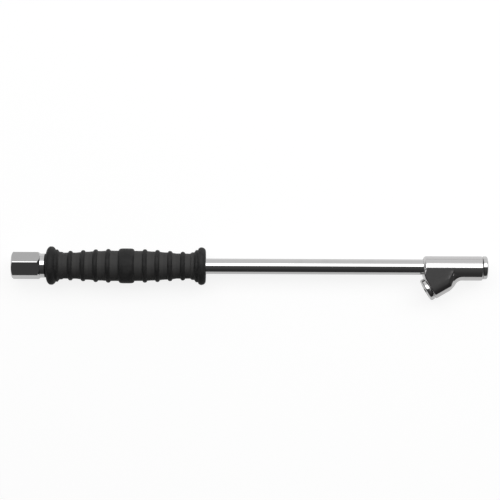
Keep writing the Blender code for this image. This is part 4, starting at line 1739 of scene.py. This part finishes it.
@dataclass
class ReturnSpring:
    """The coil spring behind a plunger, wound by a Geometry Nodes tree along the chuck's axis."""

    face: float = 17.1 * MM
    length: float = 5.2 * MM
    diameter: float = 6.8 * MM
    wire: float = 0.55 * MM
    open_turns: float = 2.5
    end_turns: float = 0.75
    points_per_turn: int = 40
    wire_facets: int = 16
    travel: float = 2.0 * MM

    def tree(self) -> bpy.types.NodeTree:
        """The tree: a line wound into a coil with closed ends, then given a round wire.

        Returns:
            The tree.
        """
        sizes = {
            "Start": self.face + self.wire / 2,
            "Length": self.length - self.wire,
            "Radius": (self.diameter - self.wire) / 2,
            "Wire": self.wire,
            "Open Turns": self.open_turns,
            "End Turns": self.end_turns,
        }
        inputs = [("Blank", GEOMETRY, None)] + [(name, FLOAT, value) for name, value in sizes.items()]
        inputs += [("Finish", "NodeSocketMaterial", None)]
        tree = new_group("return_spring_coil", "GeometryNodeTree", inputs, [("Coil", GEOMETRY)])
        given = add_node(tree, "NodeGroupInput").outputs
        size = {name: Field(tree, given[name]) for name in sizes}
        line = add_node(tree, "GeometryNodeCurvePrimitiveLine")
        turns = self.open_turns + 2 * self.end_turns
        resample = add_node(tree, "GeometryNodeResampleCurve")
        feed(tree, resample, Curve=line.outputs[0], Count=round(turns * self.points_per_turn))
        along = Field(tree, add_node(tree, "GeometryNodeSplineParameter").outputs["Factor"])
        turn = along * (size["Open Turns"] + size["End Turns"] * 2.0)
        opened = (turn - size["End Turns"]).math("MAXIMUM", 0.0).math("MINIMUM", size["Open Turns"])
        rise = size["Length"] - size["End Turns"] * 2.0 * size["Wire"]
        height = size["Start"] + opened * rise / size["Open Turns"] + (turn - opened) * size["Wire"]
        angle = turn * math.tau
        join = add_node(tree, "ShaderNodeCombineXYZ")
        across, up = angle.math("COSINE") * size["Radius"], angle.math("SINE") * size["Radius"]
        feed(tree, join, X=across, Y=up, Z=height)
        wound = add_node(tree, "GeometryNodeSetPosition")
        feed(tree, wound, Geometry=resample.outputs[0], Position=join.outputs[0])
        wire = add_node(tree, "GeometryNodeCurvePrimitiveCircle")
        feed(tree, wire, Resolution=self.wire_facets, Radius=size["Wire"] / 2.0)
        solid = add_node(tree, "GeometryNodeCurveToMesh")
        feed(tree, solid, Curve=wound.outputs[0], Profile_Curve=wire.outputs[0], Fill_Caps=True)
        close_tree(tree, solid.outputs[0], given["Finish"])
        return tree

    def build(self, chuck: str, axis: Axis, tree: bpy.types.NodeTree, steel: bpy.types.Material) -> None:
        """Builds one spring, wound along the chuck's axis.

        Args:
            chuck: The chuck's name.
            axis: The chuck's axis.
            tree: The tree from this class.
            steel: The finish.
        """
        name = f"{chuck}_coil_spring"
        obj = bpy.data.objects.new(name, bpy.data.meshes.new(name))
        bpy.context.scene.collection.objects.link(obj)
        run_tree(obj, tree, steel)
        local = np.array([vertex.co for vertex in obj.data.vertices])
        placed = axis.place(local[:, 2], local[:, 0], local[:, 1])
        for vertex, spot in zip(obj.data.vertices, placed):
            vertex.co = spot
        smooth_outwards(obj.data)
        dress(obj, steel, Body.LANCE, f"{chuck}_return_spring")
        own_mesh(obj)


@dataclass
class Chuck:
    """One chuck: its place and the pieces in it."""

    name: str
    axis: Axis
    plunger_body: Body
    parts: ChuckParts = field(default_factory=ChuckParts)

    def build(self, materials: Materials, coil: bpy.types.NodeTree) -> None:
        """Builds the chuck's visible pieces and finishes the ones behind them.

        Args:
            materials: The materials by finish.
            coil: The spring's tree.
        """
        cap = turned_piece(f"{self.name}_end_cap", self.axis, self.parts.cap(), 144)
        dress(cap, materials[Finish.CHROME], Body.LANCE, f"{self.name}_cap")
        seal = turned_piece(f"{self.name}_lip_seal", self.axis, self.parts.seal(), 96)
        dress(seal, materials[Finish.SEAL], Body.LANCE, f"{self.name}_mouth_seal")
        plunger = self.parts.fluted_plunger(f"{self.name}_fluted_plunger", self.axis)
        dress(plunger, materials[Finish.BRASS], self.plunger_body, f"{self.name}_plunger")
        ReturnSpring().build(self.name, self.axis, coil, materials[Finish.STEEL])
        kept = {"valve_seat": Finish.BRASS, "seat_ring": Finish.SEAL, "poppet_seal": Finish.SEAL}
        for node, finish in kept.items():
            finish_node(f"{self.name}_{node}", materials[finish])


# --------------------------------------------------------------------------------------------------
# Studio


FLOOR_CORNERS = ((-1, -1), (1, -1), (1, 1), (-1, 1))


@dataclass
class Studio:
    """Pale floor, white surroundings, one large soft light beyond the lance, and the photo's camera."""

    pixel: float = 0.7735 * MM
    distance: float = 1.393
    axis_row: float = 16.4
    centre_x: float = 0.27 * MM
    roll: float = math.radians(0.244)
    sensor: float = 36.0
    frame_pixels: int = 500
    clip: tuple[float, float] = (0.05, 20.0)
    light_from: float = math.radians(9.5)
    light_to: float = math.radians(44.5)
    light_distance: float = 1.1
    light_length: float = 2.2
    light_power: float = 9.6
    light_shift: float = 0.35
    fill: float = 0.5
    floor_half: float = 6.0
    floor_colour: float = 0.22
    floor_white: float = 0.86
    floor_gloss: float = 0.62
    near_gloss: float = 0.18
    near_rise: tuple[float, float] = (0.0, 0.02)
    near_fall: tuple[float, float] = (0.3, 0.03)
    end_range: tuple[float, float] = (0.5, 0.95)
    end_loss: float = 0.8
    end_lift: float = 0.05
    beside_range: tuple[float, float] = (0.3, 0.6)
    beside_lean: tuple[float, float] = (0.05, -0.05)
    beside_loss: float = 0.4
    room: tuple[tuple[float, float], ...] = (
        (-90, 0.8),
        (-88, 0.045),
        (-66, 0.042),
        (-47, 0.047),
        (-28, 0.068),
        (0, 0.092),
        (5, 0.2),
        (9, 0.9),
        (55, 0.98),
        (66, 0.86),
        (90, 0.92),
    )

    def camera(self) -> None:
        """The camera, straight above the lance with a slight roll."""
        data = bpy.data.cameras.new("photo_camera")
        data.sensor_width = self.sensor
        data.lens = self.sensor * self.distance / (self.frame_pixels * self.pixel)
        data.clip_start, data.clip_end = self.clip
        camera = bpy.data.objects.new("photo_camera", data)
        bpy.context.scene.collection.objects.link(camera)
        origin = tube_axis().origin
        camera.location = (self.centre_x, origin.y + self.axis_row * self.pixel, origin.z + self.distance)
        camera.rotation_euler = (0, 0, self.roll)
        bpy.context.scene.camera = camera

    def floor(self) -> None:
        """A pale floor. Camera and glossy rays see it white, with the lance's shadow on it."""
        mesh = bpy.data.meshes.new("floor")
        corners = [(side * self.floor_half, end * self.floor_half, 0) for side, end in FLOOR_CORNERS]
        mesh.from_pydata(corners, [], [(0, 1, 2, 3)])
        floor = bpy.data.objects.new("floor", mesh)
        bpy.context.scene.collection.objects.link(floor)
        material = bpy.data.materials.new("pale_floor")
        material.use_nodes = True
        tree = material.node_tree
        tree.nodes.clear()
        matt = feed(tree, add_node(tree, "ShaderNodeBsdfDiffuse"), Color=(*[self.floor_colour] * 3, 1.0))
        split = add_node(tree, "ShaderNodeSeparateXYZ")
        tree.links.new(add_node(tree, "ShaderNodeTexCoord").outputs["Object"], split.inputs[0])
        across = Field(tree, split.outputs["Y"])
        near = across.step(*self.near_rise) * across.step(*self.near_fall)
        camera, gloss = self.rays(tree)
        strength = camera * self.floor_white + gloss * (near * self.near_gloss + self.floor_gloss)
        white = feed(tree, add_node(tree, "ShaderNodeEmission"), Color=(1, 1, 1, 1), Strength=strength)
        total = add_node(tree, "ShaderNodeAddShader")
        tree.links.new(matt.outputs[0], total.inputs[0])
        tree.links.new(white.outputs[0], total.inputs[1])
        out = add_node(tree, "ShaderNodeOutputMaterial")
        tree.links.new(total.outputs[0], out.inputs["Surface"])
        mesh.materials.append(material)

    @staticmethod
    def rays(tree: bpy.types.NodeTree) -> tuple[Field, Field]:
        """Tells rays apart.

        Args:
            tree: The tree that asks.

        Returns:
            1 for camera rays, and 1 for glossy or transmission rays.
        """
        path = add_node(tree, "ShaderNodeLightPath").outputs
        glossy, through = Field(tree, path["Is Glossy Ray"]), Field(tree, path["Is Transmission Ray"])
        return Field(tree, path["Is Camera Ray"]), glossy.math("MAXIMUM", through)

    def room_light(self, tree: bpy.types.NodeTree) -> Field:
        """What the room gives: dark behind the camera, bright beyond the lance, less towards its ends.

        Args:
            tree: The world's tree.

        Returns:
            The light, as a grey value.
        """
        way = add_node(tree, "ShaderNodeSeparateXYZ")
        tree.links.new(add_node(tree, "ShaderNodeTexCoord").outputs["Generated"], way.inputs[0])
        lean = Field(tree, way.outputs["Y"]).math("ARCTAN2", Field(tree, way.outputs["Z"]))
        ramp = add_node(tree, "ShaderNodeValToRGB")
        elements = ramp.color_ramp.elements
        while len(elements) < len(self.room):
            elements.new(0.5)
        for element, (degrees, value) in zip(elements, self.room):
            element.position = degrees / 360 + 0.5
            element.color = (value, value, value, 1)
        tree.links.new((lean / math.tau + 0.5).socket, ramp.inputs["Fac"])
        sideways = Field(tree, way.outputs["X"]).math("ABSOLUTE")
        ends = sideways.step(*self.end_range)
        beside = sideways.step(*self.beside_range) * lean.step(*self.beside_lean)
        kept = (ends * -self.end_loss + 1.0) * (beside * -self.beside_loss + 1.0)
        return Field(tree, ramp.outputs["Color"]) * kept + ends * self.end_lift

    def world(self) -> None:
        """White surroundings for the camera, and the room for polished metal to show."""
        world = bpy.data.worlds.new("studio")
        bpy.context.scene.world = world
        world.use_nodes = True
        tree = world.node_tree
        tree.nodes.clear()
        light = self.room_light(tree)
        room = feed(tree, add_node(tree, "ShaderNodeBackground"), Color=light, Strength=1.0)
        fill = feed(tree, add_node(tree, "ShaderNodeBackground"), Color=light, Strength=self.fill)
        white = feed(tree, add_node(tree, "ShaderNodeBackground"), Color=(1, 1, 1, 1), Strength=1.0)
        camera, gloss = self.rays(tree)
        shown = fill
        for factor, other in ((gloss, room), (camera, white)):
            mix = add_node(tree, "ShaderNodeMixShader")
            tree.links.new(factor.socket, mix.inputs["Fac"])
            tree.links.new(shown.outputs[0], mix.inputs[1])
            tree.links.new(other.outputs[0], mix.inputs[2])
            shown = mix
        out = add_node(tree, "ShaderNodeOutputWorld")
        tree.links.new(shown.outputs[0], out.inputs["Surface"])

    def light(self) -> None:
        """The soft light: a long panel over the far side, which the metal shows as its white band."""
        data = bpy.data.lights.new("soft_panel", "AREA")
        data.shape = "RECTANGLE"
        data.size = self.light_length
        middle = (self.light_from + self.light_to) / 2
        data.size_y = 2 * self.light_distance * math.tan((self.light_to - self.light_from) / 2)
        data.energy = self.light_power
        panel = bpy.data.objects.new("soft_panel", data)
        bpy.context.scene.collection.objects.link(panel)
        origin = tube_axis().origin
        away = Vector((0, math.sin(middle), math.cos(middle)))
        panel.location = origin + away * self.light_distance + Vector((self.light_shift, 0, 0))
        panel.rotation_euler = (-middle, 0, 0)
        panel.visible_camera = False

    def build(self) -> None:
        """Sets up the whole studio."""
        bpy.context.scene.view_settings.view_transform = "Standard"
        self.floor()
        self.world()
        self.light()
        self.camera()


def chucks() -> list[Chuck]:
    """The two chucks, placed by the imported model's boxes.

    Returns:
        The straight chuck and the angled one.
    """
    head = ChuckHead()
    low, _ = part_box("chuck_head")
    _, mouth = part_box("straight_cap")
    axis = tube_axis().origin
    straight = Vector((mouth.x, axis.y - head.chuck_drop * MM, axis.z))
    out = Vector((-math.cos(head.branch_angle), -math.sin(head.branch_angle), 0))
    crossing = Vector((low.x + head.crossing * MM, axis.y - head.drop * MM, axis.z))
    angled = crossing + out * head.reach * MM
    return [
        Chuck("straight", Axis(straight, Vector((-1, 0, 0))), Body.STRAIGHT_PLUNGER),
        Chuck("angled", Axis(angled, -out), Body.ANGLED_PLUNGER),
    ]


def main() -> None:
    """Builds every piece in order, then the studio."""
    logging.basicConfig(level=logging.INFO, format="%(name)s %(message)s")
    effects = SharedEffects()
    materials = {finish: recipe.build(effects) for finish, recipe in RECIPES.items()}
    InletFitting().build(materials[Finish.CHROME], materials[Finish.SEAL])
    AirTube().build(materials[Finish.CHROME])
    RubberGrip().build(materials[Finish.GRIP])
    ChuckHead().build(materials[Finish.CAST_CHROME])
    coil = ReturnSpring().tree()
    for chuck in chucks():
        chuck.build(materials, coil)
    for name in ("rear_tube_seal", "front_tube_seal"):
        finish_node(name, materials[Finish.SEAL])
    Studio().build()


if __name__ == "__main__":
    main()
